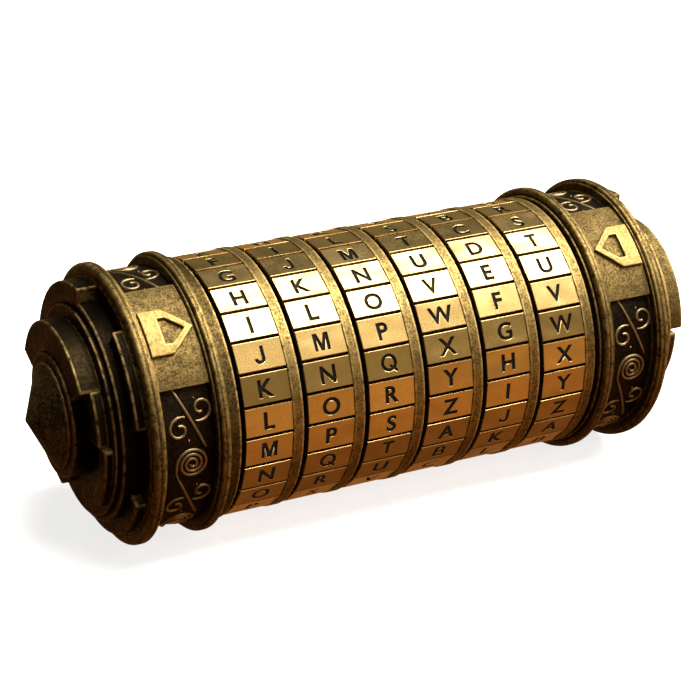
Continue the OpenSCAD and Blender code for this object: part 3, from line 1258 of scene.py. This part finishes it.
@dataclass
class Collar(Fitting):
    """A collar: band beside the dials, two flanges with beads, and the ornamented channel.

    Names that end in _r or _bore are radii. The others are distances along the axis or sizes, from the
    collar's inner face out to its lip; the socket is the right collar's deeper bore.
    """

    face: float
    bore_r: float
    band_r: float = 20.2
    flange_r: float = 21.4
    channel_in: float = 33.0
    channel_out: float = 41.4
    floor_r: float = 19.4
    inner_flange: float = 1.4
    outer_flange: float = 1.7
    bead: float = 0.5
    bead_r: float = 20.9
    lip_face: float = 43.4
    lip_bore: float = 19.8
    seat_face: float = 42.3
    socket_end: float = 33.28
    socket_r: float = 13.08

    def _section(self) -> list[Corner]:
        """Half-section of the collar for the right side.

        Returns:
            The corners.
        """
        flange_in = self.channel_in - self.inner_flange
        flange_out = self.lip_face - self.outer_flange
        low_bead = self.bead_r - self.bead / 2
        # The ridge shares set how bright each crest is painted: the outer bead's 1.4, above the 1 of a plain
        # ridge, is a painted highlight line, and the flange crests mix rubbed wear with painted highlight.
        edge = [
            Corner(self.face, self.band_r, 0.2),
            Corner(flange_in, self.band_r, 0.12),
            Corner(flange_in, self.flange_r, self.inner_flange / 2, 7, ridge=0.55),
            Corner(self.channel_in, self.flange_r, self.inner_flange / 2, 7, ridge=0.55),
            Corner(self.channel_in, low_bead, 0.05, ridge=0.6),
            Corner(self.channel_in + self.bead * 0.4, self.bead_r, 0.16, 4, ridge=0.2),
            Corner(self.channel_in + self.bead, self.bead_r - 0.06, 0.16, 4, ridge=0.2),
            Corner(self.channel_in + self.bead, self.floor_r, 0.12, finish=1),
            Corner(self.channel_out, self.floor_r, 0.12, ridge=-0.9),
            Corner(self.channel_out, self.bead_r - 0.06, 0.12, 4, ridge=0.5),
            Corner(flange_out - 0.05, self.bead_r, 0.1, 4, ridge=1.4),
            Corner(flange_out, low_bead, 0.05, ridge=0.6),
            Corner(flange_out, self.flange_r, self.outer_flange / 2, 7, ridge=0.55),
            Corner(self.lip_face, self.flange_r, self.outer_flange / 2, 7, ridge=0.55),
            Corner(self.lip_face, self.lip_bore, 0.14),
            Corner(self.seat_face, self.lip_bore, 0.05),
            Corner(self.seat_face, self.bore_r, 0.1),
        ]
        if self.side is Side.LEFT:
            return edge + [Corner(self.face, self.bore_r, 0.1)]
        end, floor = self.socket_end, self.socket_r
        socket = ((end, self.bore_r), (end, floor), (self.face, floor))
        return edge + [Corner(x, r, 0.08) for x, r in socket]

    def build(self, palette: Palette) -> None:
        """Adds the collar.

        Args:
            palette: Finishes.
        """
        shape = bmesh.new()
        self.turn(shape, self._section())
        finishes = [palette["collar_bronze"], palette["frieze_patina"]]
        self.add(shape, "collar_ring", "collar", "collar_bronze", finishes)


@dataclass
class IndexPlate(Fitting):
    """The plate in a collar's channel with a raised arrow frame that points to the dials.

    Attributes:
        inner: Inner end of the plate.
        outer: Outer end of the plate.
        foot_r: Radius of its foot.
        face_r: Radius of its face.
        low: First elevation.
        high: Last elevation.
        arrow_start: Distance of the arrow's tip along the axis.
        arrow_long: Length of the arrow.
        arrow_half: Half of the arrow's width.
        border: Thickness of the frame's sides at the tip, measured along the axis.
        hole_half: Half of the opening's width.
        arrow_r: Radius of the arrow's face.
        soft: Rounding of the arrow's edges.
        plate_soft: Rounding of the plate's edges.
    """

    inner: float = 33.55
    outer: float = 41.35
    foot_r: float = 19.35
    face_r: float = 20.3
    low: float = 26.5
    high: float = 74.5
    arrow_start: float = 33.84
    arrow_long: float = 7.3
    arrow_half: float = 3.6
    border: float = 1.3
    hole_half: float = 2.016
    arrow_r: float = 20.88
    soft: float = 0.16
    plate_soft: float = 0.14

    def _outline(self, depth: float, hole: bool) -> list[Vector]:
        """Outline of the frame or of its opening, drawn in by a depth, as (along X, along the rim).

        Args:
            depth: How far the outline is drawn into the metal.
            hole: True for the opening.

        Returns:
            Five corners, from the tip on.
        """
        if hole:
            tip, shoulder, back = (self.border + share * self.arrow_long for share in (0, 0.32, 0.48))
            half, depth = self.hole_half, -depth
        else:
            tip, shoulder, back, half = 0, 0.53 * self.arrow_long, self.arrow_long, self.arrow_half
        slope = math.atan2(half, shoulder - tip)
        corner = math.tan(slope / 2)
        return [
            Vector((tip + depth / math.sin(slope), 0)),
            Vector((shoulder + depth * corner, half - depth)),
            Vector((back - depth, half - depth)),
            Vector((back - depth, -half + depth)),
            Vector((shoulder + depth * corner, -half + depth)),
        ]

    def _loop(self, depth: float, hole: bool, radius: float) -> list[Vector]:
        """Points of an outline bent round the axis at a radius.

        Args:
            depth: How far the outline is drawn into the metal.
            hole: True for the opening.
            radius: Radius of the loop.

        Returns:
            The points.
        """
        corners = self._outline(depth, hole)
        middle = (self.low + self.high) / 2
        made = []
        for a, b in zip(corners, corners[1:] + corners[:1]):
            for k in range(OUTLINE_STEPS):
                p = a.lerp(b, k / OUTLINE_STEPS)
                x = (self.arrow_start + p.x) * self.side.value
                made.append(place(x, radius, middle + math.degrees(p.y / self.face_r)))
        return made

    def _arrow(self, shape: BMesh) -> None:
        """Adds the raised arrow frame, with rounded edges.

        Args:
            shape: The shape to add to.
        """
        s, bend, top = self.soft, 0.3 * self.soft, self.arrow_r
        levels = [
            (0.0, self.face_r - 0.2, 0),
            (0.0, self.face_r + 0.1, -0.6),
            (0.0, top - s, 1),
            (bend, top - bend, 1),
            (s, top, 1),
            (2 * s, top, 0),
        ]
        loops = [(self._loop(depth, False, r), edge) for depth, r, edge in levels]
        loops += [(self._loop(depth, True, r), edge) for depth, r, edge in reversed(levels)]
        rings = [[(loop[i], e) for loop, e in loops] for i in range(len(loops[0][0]))]
        skin(shape, rings, [1] * len(loops), closed=True)

    def build(self, palette: Palette) -> None:
        """Adds the plate and its arrow.

        Args:
            palette: Finishes.
        """
        shape, soft = bmesh.new(), self.plate_soft
        section = box_section(self.inner, self.outer, self.foot_r, self.face_r, soft)
        self.sweep(shape, section, self.low, self.high, soft)
        self._arrow(shape)
        finishes = [palette["plate_bronze"], palette["arrow_bronze"]]
        self.add(shape, "plate_and_arrow", "index_plate", "plate_bronze", finishes)


@dataclass
class Scrollwork:
    """Raised scrollwork in the channels: leaning stems with curls, and spirals between them.

    Attributes:
        shift: Shift of both bands to the right.
        middle: Distance of a channel's middle along the axis.
        floor_r: Radius of the channel's floor.
        stems: Number of stems in a channel.
        period: Angle from stem to stem, in degrees.
        first_stem: Elevation of the first stem.
        stem_half: Half of a stem's size along the axis and round it.
        spiral_r: Radius of a spiral.
        spiral_turns: Turns of a spiral.
        spiral_drop: Distance from a stem down to the next spiral.
        curl_at: Place of a curl from the middle of its stem.
        curl_radii: Outer and inner radius of a curl.
        curl_turns: Turns of a curl.
        dots: Places of the beads from the middle of a stem.
        line: Radius of the lines.
    """

    shift: float = 0.4
    middle: float = 37.4
    floor_r: float = 19.4
    stems: int = 8
    period: float = 40.9
    first_stem: float = 13.0
    stem_half: Pair = (2.1, 4.6)
    spiral_r: float = 2.45
    spiral_turns: float = 3.0
    spiral_drop: float = 6.95
    curl_at: Pair = (1.75, 1.35)
    curl_radii: Pair = (2.0, 0.5)
    curl_turns: float = 1.12
    dots: tuple[Pair, ...] = ((0.9, 2.9), (-0.5, -3.2))
    line: float = 0.25

    def _pitch(self) -> float:
        """Distance from stem to stem round the channel's floor."""
        return math.radians(self.period) * self.floor_r

    @staticmethod
    def _line(curve: Curve, points: Sequence[Vector], taper: Pair) -> None:
        """Adds a line through points, with its thickness at both ends as shares of the middle.

        Args:
            curve: The curve to add to.
            points: Points of the line.
            taper: Thickness at its first and last end.
        """
        gain = 6
        spline = curve.splines.new("POLY")
        spline.points.add(len(points) - 1)
        for i, (target, p) in enumerate(zip(spline.points, points)):
            share = i / (len(points) - 1)
            target.co = (p.x * MM, p.y * MM, 0, 1)
            target.radius = min(1, taper[0] + gain * share, taper[1] + gain * (1 - share))

    @staticmethod
    def _spiral(centre: Vector, radii: Pair, start: float, turns: float, power: float = 1) -> list[Vector]:
        """Points of an anticlockwise spiral about a centre, from a start angle in degrees.

        Args:
            centre: The centre.
            radii: First and last radius.
            start: First angle.
            turns: Number of turns.
            power: Above 1 the radius changes late, and below 1 early.

        Returns:
            The points.
        """
        count = round(turns * SPIRAL_STEPS)
        made = []
        for k in range(count + 1):
            s = k / count
            angle = math.radians(start + 360 * turns * s)
            r = radii[0] + (radii[1] - radii[0]) * s**power
            made.append(centre + Vector((math.cos(angle), math.sin(angle))) * r)
        return made

    def _stem_curve(self) -> Object:
        """A stem with two curls and two beads, about its own middle.

        Returns:
            The lines, as an object of the scene.
        """
        stem, curve = self._empty("stem_lines")
        dx, dy = self.stem_half
        top, foot = Vector((-dx, dy)), Vector((dx, -dy))
        self._line(curve, [top.lerp(foot, k / STEM_STEPS) for k in range(STEM_STEPS + 1)], (0.5, 0.5))
        for sign, start in ((1, -120), (-1, 60)):
            points = self._spiral(Vector(self.curl_at) * sign, self.curl_radii, start, self.curl_turns, 0.8)
            self._line(curve, points, (0.5, 1.0))
        for dot in self.dots:
            centre, half = Vector(dot), Vector((self.line * 0.4, 0))
            self._line(curve, [centre - half, centre, centre + half], (0.7, 0.7))
        return stem

    def _spiral_curve(self) -> Object:
        """The big spiral with the tail that runs into the next stem.

        Returns:
            The line, as an object of the scene.
        """
        spiral, curve = self._empty("spiral_line")
        first = 180 - 360 * self.spiral_turns
        points = self._spiral(Vector((0, 0)), (0.3, self.spiral_r), first, self.spiral_turns)
        dx, dy = self.stem_half
        start, goal = points[-1], Vector((-dx, dy - self._pitch() + self.spiral_drop))
        reach = (goal - start).length * 0.5
        a, b = start + Vector((0, -1)) * reach, goal - Vector((dx, -dy)).normalized() * reach
        for k in range(1, TAIL_STEPS + 1):
            s = k / TAIL_STEPS
            p = start * (1 - s) ** 3 + a * 3 * s * (1 - s) ** 2 + b * 3 * s * s * (1 - s) + goal * s**3
            points.append(p)
        self._line(curve, points, (1.0, 0.6))
        return spiral

    @staticmethod
    def _empty(name: str) -> tuple[Object, Curve]:
        """Makes a curve without lines, which the tree will read, and its object.

        Args:
            name: Name of both.

        Returns:
            The object and the curve.
        """
        curve = bpy.data.curves.new(name, "CURVE")
        curve.dimensions = "3D"
        return link(bpy.data.objects.new(name, curve)), curve

    def _group(self) -> Group:
        """Builds the tree that repeats the lines, rounds them and bends them round the channel.

        Returns:
            The finished group.
        """
        measures = ("Period", "Spiral drop", "First elevation", "Middle", "Floor radius")
        inputs = [("Stem", "Object"), ("Spiral", "Object"), ("Metal", "Material")]
        inputs += [("Stems", "Int", self.stems), ("Line", "Float", self.line * MM)]
        inputs += [(name, "Float") for name in measures]
        group = Group("scrollwork_round_channel", "GeometryNodeTree", inputs, {"Geometry": "Geometry"})
        given = group.given
        spirals = group.math("SUBTRACT", given["Stems"], 1)
        joined = group.put("GeometryNodeJoinGeometry")
        repeats = (("Stem", given["Stems"], 0.0), ("Spiral", spirals, given["Spiral drop"]))
        for source, count, drop in repeats:
            lines = group.out("GeometryNodeObjectInfo", {"Object": given[source]}, "Geometry")
            points = group.out("GeometryNodePoints", {"Count": count})
            index = group.out("GeometryNodeInputIndex")
            fall = group.math("MULTIPLY", group.math("MULTIPLY_ADD", index, given["Period"], drop), -1.0)
            where = group.out("ShaderNodeCombineXYZ", {"Y": fall})
            spread = group.out("GeometryNodeSetPosition", {"Geometry": points, "Position": where})
            placed = group.out("GeometryNodeInstanceOnPoints", {"Points": spread, "Instance": lines})
            group.feed(joined, {0: placed})
        real = group.out("GeometryNodeRealizeInstances", {"Geometry": joined.outputs[0]})
        profile = group.out("GeometryNodeCurvePrimitiveCircle", {"Resolution": 8, "Radius": given["Line"]})
        round_lines = {"Curve": real, "Profile Curve": profile, "Fill Caps": True}
        tube = group.put("GeometryNodeCurveToMesh", round_lines)
        if "Scale" in tube.inputs:
            group.feed(tube, {"Scale": group.out("GeometryNodeInputRadius")})
        bent = {"Geometry": tube.outputs[0], "Position": self._bend(group)}
        smooth = group.out("GeometryNodeSetShadeSmooth", {0: group.out("GeometryNodeSetPosition", bent)})
        again = group.out("GeometryNodeRealizeInstances", {"Geometry": smooth})
        metal = {"Geometry": again, "Material": given["Metal"]}
        group.deliver({"Geometry": group.out("GeometryNodeSetMaterial", metal)})
        return group

    @staticmethod
    def _bend(group: Group) -> NodeSocket:
        """Position on the channel: X plus the middle, Y as an arc on the floor, Z as the height over it.

        Args:
            group: The group to add to.

        Returns:
            The new position.
        """
        given = group.given
        flat = group.put("ShaderNodeSeparateXYZ", {0: group.out("GeometryNodeInputPosition")}).outputs
        arc = group.math("DIVIDE", flat["Y"], given["Floor radius"])
        angle = group.math("ADD", arc, given["First elevation"])
        height = group.math("ADD", flat["Z"], given["Floor radius"])
        along = group.math("ADD", flat["X"], given["Middle"])
        back = group.math("MULTIPLY", height, group.math("COSINE", angle))
        front = group.math("MULTIPLY", back, -1.0)
        up = group.math("MULTIPLY", height, group.math("SINE", angle))
        return group.out("ShaderNodeCombineXYZ", {"X": along, "Y": front, "Z": up})

    def build(self, palette: Palette) -> None:
        """Adds the scrollwork of both channels.

        Args:
            palette: Finishes.
        """
        sources = {"Stem": self._stem_curve(), "Spiral": self._spiral_curve()}
        group = self._group()
        for side in Side:
            sizes = {
                "Period": self._pitch() * MM,
                "Spiral drop": self.spiral_drop * MM,
                "First elevation": math.radians(self.first_stem),
                "Middle": (self.middle * side.value + self.shift) * MM,
                "Floor radius": self.floor_r * MM,
            }
            name = f"{side.word}_scrollwork"
            mesh = group.run(name, {**sources, **sizes, "Metal": palette["scroll_bronze"]})
            add_piece(name, mesh, [], side.body, "collar_bronze")
        for line in sources.values():
            bpy.data.objects.remove(line)


# ---- Ends ----


@dataclass
class EndCap(Fitting):
    """The stepped end: cap with raised arcs, crown over the top, and the finial cone.

    Names that end in _r, _in or _out are radii, and those that end in _start or _end are elevations. The
    others are distances along the axis, from the seat in the collar out to the tip. The cap steps in from its
    base to step c, step b and the boss; the ring and the land are raised arcs on it.
    """

    hood_start: float
    end_finish: str
    crown_finish: str
    seat: float = 42.3
    base: float = 43.5
    base_r: float = 19.75
    step_c: float = 46.6
    step_c_r: float = 17.0
    step_b: float = 47.4
    step_b_r: float = 16.0
    boss: float = 51.2
    boss_r: float = 9.45
    stud_r: float = 2.5
    stud_long: float = 14.0
    ring_in: float = 16.8
    ring_out: float = 19.3
    ring_low: float = 45.1
    ring_high: float = 46.7
    land: float = 48.8
    land_in: float = 13.1
    land_out: float = 15.4
    crown_low: float = 49.2
    crown_high: float = 50.8
    crown_in: float = 9.5
    crown_out: float = 14.1
    crown_end: float = 255.0
    hood_end: float = 158.0
    cone_r: float = 8.0
    tip: float = 55.3
    sink: float = 0.2
    trim: float = 0.02
    arc_soft: float = 0.28
    crown_soft: float = 0.3

    def _cap(self, palette: Palette) -> None:
        """Adds the stepped cap with its raised arcs.

        Args:
            palette: Finishes.
        """
        shape = bmesh.new()
        profile = (
            (self.seat, self.stud_r, 0.0),
            (self.seat, self.base_r, 0.1),
            (self.base, self.base_r, 0.25),
            (self.base, self.step_c_r, 0.12),
            (self.step_c, self.step_c_r, 0.25),
            (self.step_c, self.step_b_r, 0.08),
            (self.step_b, self.step_b_r, 0.25),
            (self.step_b, self.boss_r, 0.12),
            (self.boss, self.boss_r, 0.25),
            (self.boss, self.stud_r, 0.0),
        )
        self.turn(shape, faced([Corner(*p) for p in profile]))
        arcs = (
            (self.base, self.ring_low, self.ring_in, self.ring_out, 12, 57),
            (self.base, self.ring_high, self.ring_in, self.ring_out, 88, 205),
            (self.base, self.ring_low, self.ring_in, self.ring_out, 240, 333),
            (self.step_b, self.land, self.land_in, self.land_out, 315, 360),
        )
        for x1, x2, r1, r2, low, high in arcs:
            section = faced(box_section(x1 - self.sink, x2, r1, r2, self.arc_soft))
            self.sweep(shape, section, low, high, self.arc_soft)
        finishes = [palette[self.end_finish], palette["end_brown"]]
        self.add(shape, "end_cap_stepped", "end_cap", "end_bronze", finishes)

    def _crown(self, palette: Palette) -> None:
        """Adds the open ring and the hood raised over its top.

        Args:
            palette: Finishes.
        """
        shape, soft = bmesh.new(), self.crown_soft
        low, high = self.hood_start, self.hood_end
        trimmed = (self.crown_in + self.trim, self.crown_out - self.trim)
        ring = faced(box_section(self.step_b, self.crown_low, *trimmed, soft))
        self.sweep(shape, ring, high - 1, self.crown_end, soft)
        if low > 0:
            self.sweep(shape, ring, 0, low + 1, soft)
        hood = [
            Corner(self.step_b, self.crown_in, 0.1),
            Corner(self.step_b, self.crown_out, 0.1),
            Corner(self.crown_high, self.crown_out, soft, 5),
            Corner(self.crown_high, self.crown_in, soft),
        ]
        self.sweep(shape, faced(hood), low, high, soft)
        finishes = [palette[self.crown_finish], palette["end_brown"]]
        self.add(shape, "crown_hood", "crown", "crown_bronze", finishes)

    def _finial(self, palette: Palette) -> None:
        """Adds the cone with its stud.

        Args:
            palette: Finishes.
        """
        shape = bmesh.new()
        start = self.boss - self.stud_long
        profile = (
            (start, 0, 0),
            (start, self.stud_r, 0.2),
            (self.boss + 0.01, self.stud_r, 0),
            (self.boss + 0.01, self.cone_r, 0.1),
            (self.boss + 0.3, self.cone_r, 0.22),
            (self.tip, 0.15, 0.25, 4),
            (self.tip, 0, 0),
        )
        self.turn(shape, [Corner(*p) for p in profile], 180)
        self.add(shape, "finial_cone", "finial", "crown_bronze", [palette["cone_bronze"]])

    def build(self, palette: Palette) -> None:
        """Adds the cap, the crown and the finial.

        Args:
            palette: Finishes.
        """
        self._cap(palette)
        self._crown(palette)
        self._finial(palette)


# ---- Inside ----


class Inside:
    """The CAD parts of the lock and the vault, which keep their shape and get their finish."""

    NODES = {
        "tube_brass": ("body_tube", "tube_plug", "vault_tube", "vault_plug"),
        "steel": ("left_set_screw", "right_set_screw", "key_rail", "key_rivets"),
        # dial_clips take the near-black clip_steel, partly painted shade in the gaps.
        "clip_steel": ("dial_clips",),
    }

    def build(self, palette: Palette, dials: int) -> None:
        """Dresses the inner nodes.

        Args:
            palette: Finishes.
            dials: Number of dials.
        """
        wanted = [(node, finish) for finish, nodes in self.NODES.items() for node in nodes]
        wanted += [(f"code_ring_{n}", "tube_brass") for n in range(1, dials + 1)]
        for node, finish in wanted:
            mesh = frame["nodes"][node].data
            mesh.materials.clear()
            mesh.materials.append(palette[finish])
        LOG.info("inside: %d CAD nodes dressed", len(wanted))


# ---- Studio ----


@dataclass(frozen=True)
class Lamp:
    """A soft rectangular lamp that looks at the middle of the cryptex.

    Attributes:
        name: Name of the lamp.
        direction: Direction from the cryptex to the lamp.
        distance: Distance in metres.
        size: Width along X and height, in metres.
        power: Power in watts.
        colour: Colour of the light.
    """

    name: str
    direction: Triple
    distance: float
    size: Pair
    power: float
    colour: Colour

    def build(self) -> None:
        """Adds the lamp."""
        data = bpy.data.lights.new(self.name, "AREA")
        data.shape = "RECTANGLE"
        data.size, data.size_y = self.size
        data.energy = self.power
        data.color = self.colour
        lamp = link(bpy.data.objects.new(self.name, data))
        out = Vector(self.direction).normalized()
        across = (Vector((1, 0, 0)) - out * out.x).normalized()
        turn = Matrix((across, out.cross(across), out)).transposed().to_4x4()
        lamp.matrix_world = Matrix.Translation(out * self.distance) @ turn


@dataclass
class Studio:
    """Plain pale floor, soft light and the camera, in metres.

    Attributes:
        camera_at: Place of the camera.
        forward: Direction in which it looks.
        lens: Focal length in millimetres.
        sensor: Width of its sensor in millimetres.
        clip: Nearest and farthest distance that it sees.
        floor_z: Height of the floor, under the flanges.
        floor_half: Half of the floor's width.
        lamps: The lamps.
        falloff: Slope, middle and least value of the room's brightness from left to right.
        room: Height share, from straight down to straight up, and colour of the room's reflections.
    """

    camera_at: Triple = (-0.1379, -0.2706, 0.1324)
    forward: Triple = (0.4113, 0.8198, -0.3984)
    lens: float = 108.4
    sensor: float = 36
    clip: Pair = (0.01, 20)
    floor_z: float = -0.0214
    floor_half: float = 3.0
    lamps: tuple[Lamp, ...] = (
        Lamp("overhead", (0.45, -0.17, 0.9), 0.62, (0.8, 0.44), 12, (1.0, 0.95, 0.84)),
        Lamp("front_fill", (0.35, -0.80, 0.62), 0.8, (0.8, 0.22), 0.72, (1.0, 0.82, 0.56)),
    )
    falloff: Triple = (1.15, 0.66, 0.2)
    room: tuple[tuple[float, Colour], ...] = (
        (0.0, (0.12, 0.045, 0.013)),
        (0.08, (0.24, 0.095, 0.028)),
        (0.2, (0.5, 0.21, 0.06)),
        (0.38, (0.78, 0.37, 0.115)),
        (0.47, (0.36, 0.2, 0.075)),
        (0.56, (0.28, 0.215, 0.095)),
        (0.63, (0.26, 0.21, 0.1)),
        (0.75, (0.06, 0.05, 0.03)),
        (1.0, (0.08, 0.07, 0.05)),
    )

    def _camera(self) -> None:
        """Sets the camera."""
        data = bpy.data.cameras.new("camera")
        data.lens, data.sensor_width = self.lens, self.sensor
        data.clip_start, data.clip_end = self.clip
        camera = link(bpy.data.objects.new("camera", data))
        camera.location = self.camera_at
        camera.rotation_mode = "QUATERNION"
        camera.rotation_quaternion = Vector(self.forward).to_track_quat("-Z", "Y")
        bpy.context.scene.camera = camera

    def _floor(self) -> None:
        """Adds the floor, which glows a little and stays out of reflections."""
        shape = bmesh.new()
        bmesh.ops.create_grid(shape, x_segments=2, y_segments=2, size=self.floor_half)
        mesh = bpy.data.meshes.new("floor")
        shape.to_mesh(mesh)
        shape.free()
        mesh.transform(Matrix.Translation((0, 0, self.floor_z)))
        material, tree, shader = new_material("pale_floor")
        surface = {"Base Color": (0.88, 0.88, 0.87, 1), "Roughness": 0.9, "Specular IOR Level": 0.0}
        tree.feed(shader, {**surface, "Emission Color": (1, 1, 1, 1), "Emission Strength": 0.8})
        mesh.materials.append(material)
        floor = link(bpy.data.objects.new("floor", mesh))
        floor.visible_glossy = False
        floor.visible_shadow = False

    def _world(self) -> None:
        """Sets the room: white to the camera, dim olive above and warm brown below in reflections."""
        world = bpy.data.worlds.new("room")
        world.use_nodes = True
        tree = Tree(world.node_tree)
        tree.tree.nodes.clear()
        where = tree.out("ShaderNodeTexCoord", output="Generated")
        parts = tree.put("ShaderNodeSeparateXYZ", {0: where}).outputs
        share = tree.math("MULTIPLY_ADD", parts["Z"], 0.5, 0.5)
        slope, middle, least = self.falloff
        lit = tree.math("MAXIMUM", tree.math("MULTIPLY_ADD", parts["X"], slope, middle, clamp=True), least)
        ramp = tree.put("ShaderNodeValToRGB", {"Fac": share})
        elements = ramp.color_ramp.elements
        while len(elements) < len(self.room):
            elements.new(0.5)
        for element, (position, colour) in zip(elements, self.room):
            element.position = position
            element.color = (*colour, 1)
        room = tree.out("ShaderNodeBackground", {"Color": ramp.outputs["Color"], "Strength": lit})
        white = tree.out("ShaderNodeBackground", {"Color": (1, 1, 1, 1), "Strength": 1.0})
        seen = tree.out("ShaderNodeLightPath", output="Is Camera Ray")
        mixed = tree.out("ShaderNodeMixShader", {0: seen, 1: room, 2: white})
        tree.put("ShaderNodeOutputWorld", {"Surface": mixed})
        bpy.context.scene.world = world

    def build(self) -> None:
        """Sets the studio up."""
        self._camera()
        self._floor()
        self._world()
        for lamp in self.lamps:
            lamp.build()
        bpy.context.scene.view_settings.view_transform = "Standard"


# ---- The whole ----


@dataclass(frozen=True)
class SideDesign:
    """What differs between the two sides.

    Attributes:
        face: Inner face of the collar.
        bore_r: Bore radius of the collar.
        hood_start: Elevation where the crown's hood starts.
        end_finish: Finish of the end cap.
        crown_finish: Finish of the crown.
    """

    face: float
    bore_r: float
    hood_start: float
    end_finish: str
    crown_finish: str


@dataclass
class Cryptex:
    """The whole puzzle, with a word set on its dials.

    Attributes:
        word: Letters in the code row, from the left.
        play: Turn of each dial past the code row, in degrees.
        sides: The design of each side.
    """

    word: str = "ILOVEU"
    play: tuple[float, ...] = (0, 0.5, 0, 2, 3.5, 1.75)
    sides: dict[Side, SideDesign] = field(
        default_factory=lambda: {
            # The left end's near-black end_bronze and crown_bronze are painted shade; the right end keeps the
            # lighter collar and plate finishes.
            Side.LEFT: SideDesign(29.6, 13.0, 34.0, "end_bronze", "crown_bronze"),
            Side.RIGHT: SideDesign(31.2, 11.4, 0.0, "collar_bronze", "plate_bronze"),
        }
    )

    def build(self) -> None:
        """Builds every sub-assembly in order."""
        palette = Palette()
        row = TileRow(palette, LetterTile())
        for number, (letter, play) in enumerate(zip(self.word, self.play), 1):
            Dial(number, letter, play).build(palette, row)
        row.clear()
        for side, design in self.sides.items():
            Collar(side, design.face, design.bore_r).build(palette)
            IndexPlate(side).build(palette)
            EndCap(side, design.hood_start, design.end_finish, design.crown_finish).build(palette)
        Scrollwork().build(palette)
        Inside().build(palette, len(self.word))


def main() -> None:
    """Builds the cryptex and its studio."""
    logging.basicConfig(level=logging.INFO, format="%(name)s: %(message)s")
    Cryptex().build()
    Studio().build()


if __name__ == "__main__":
    main()
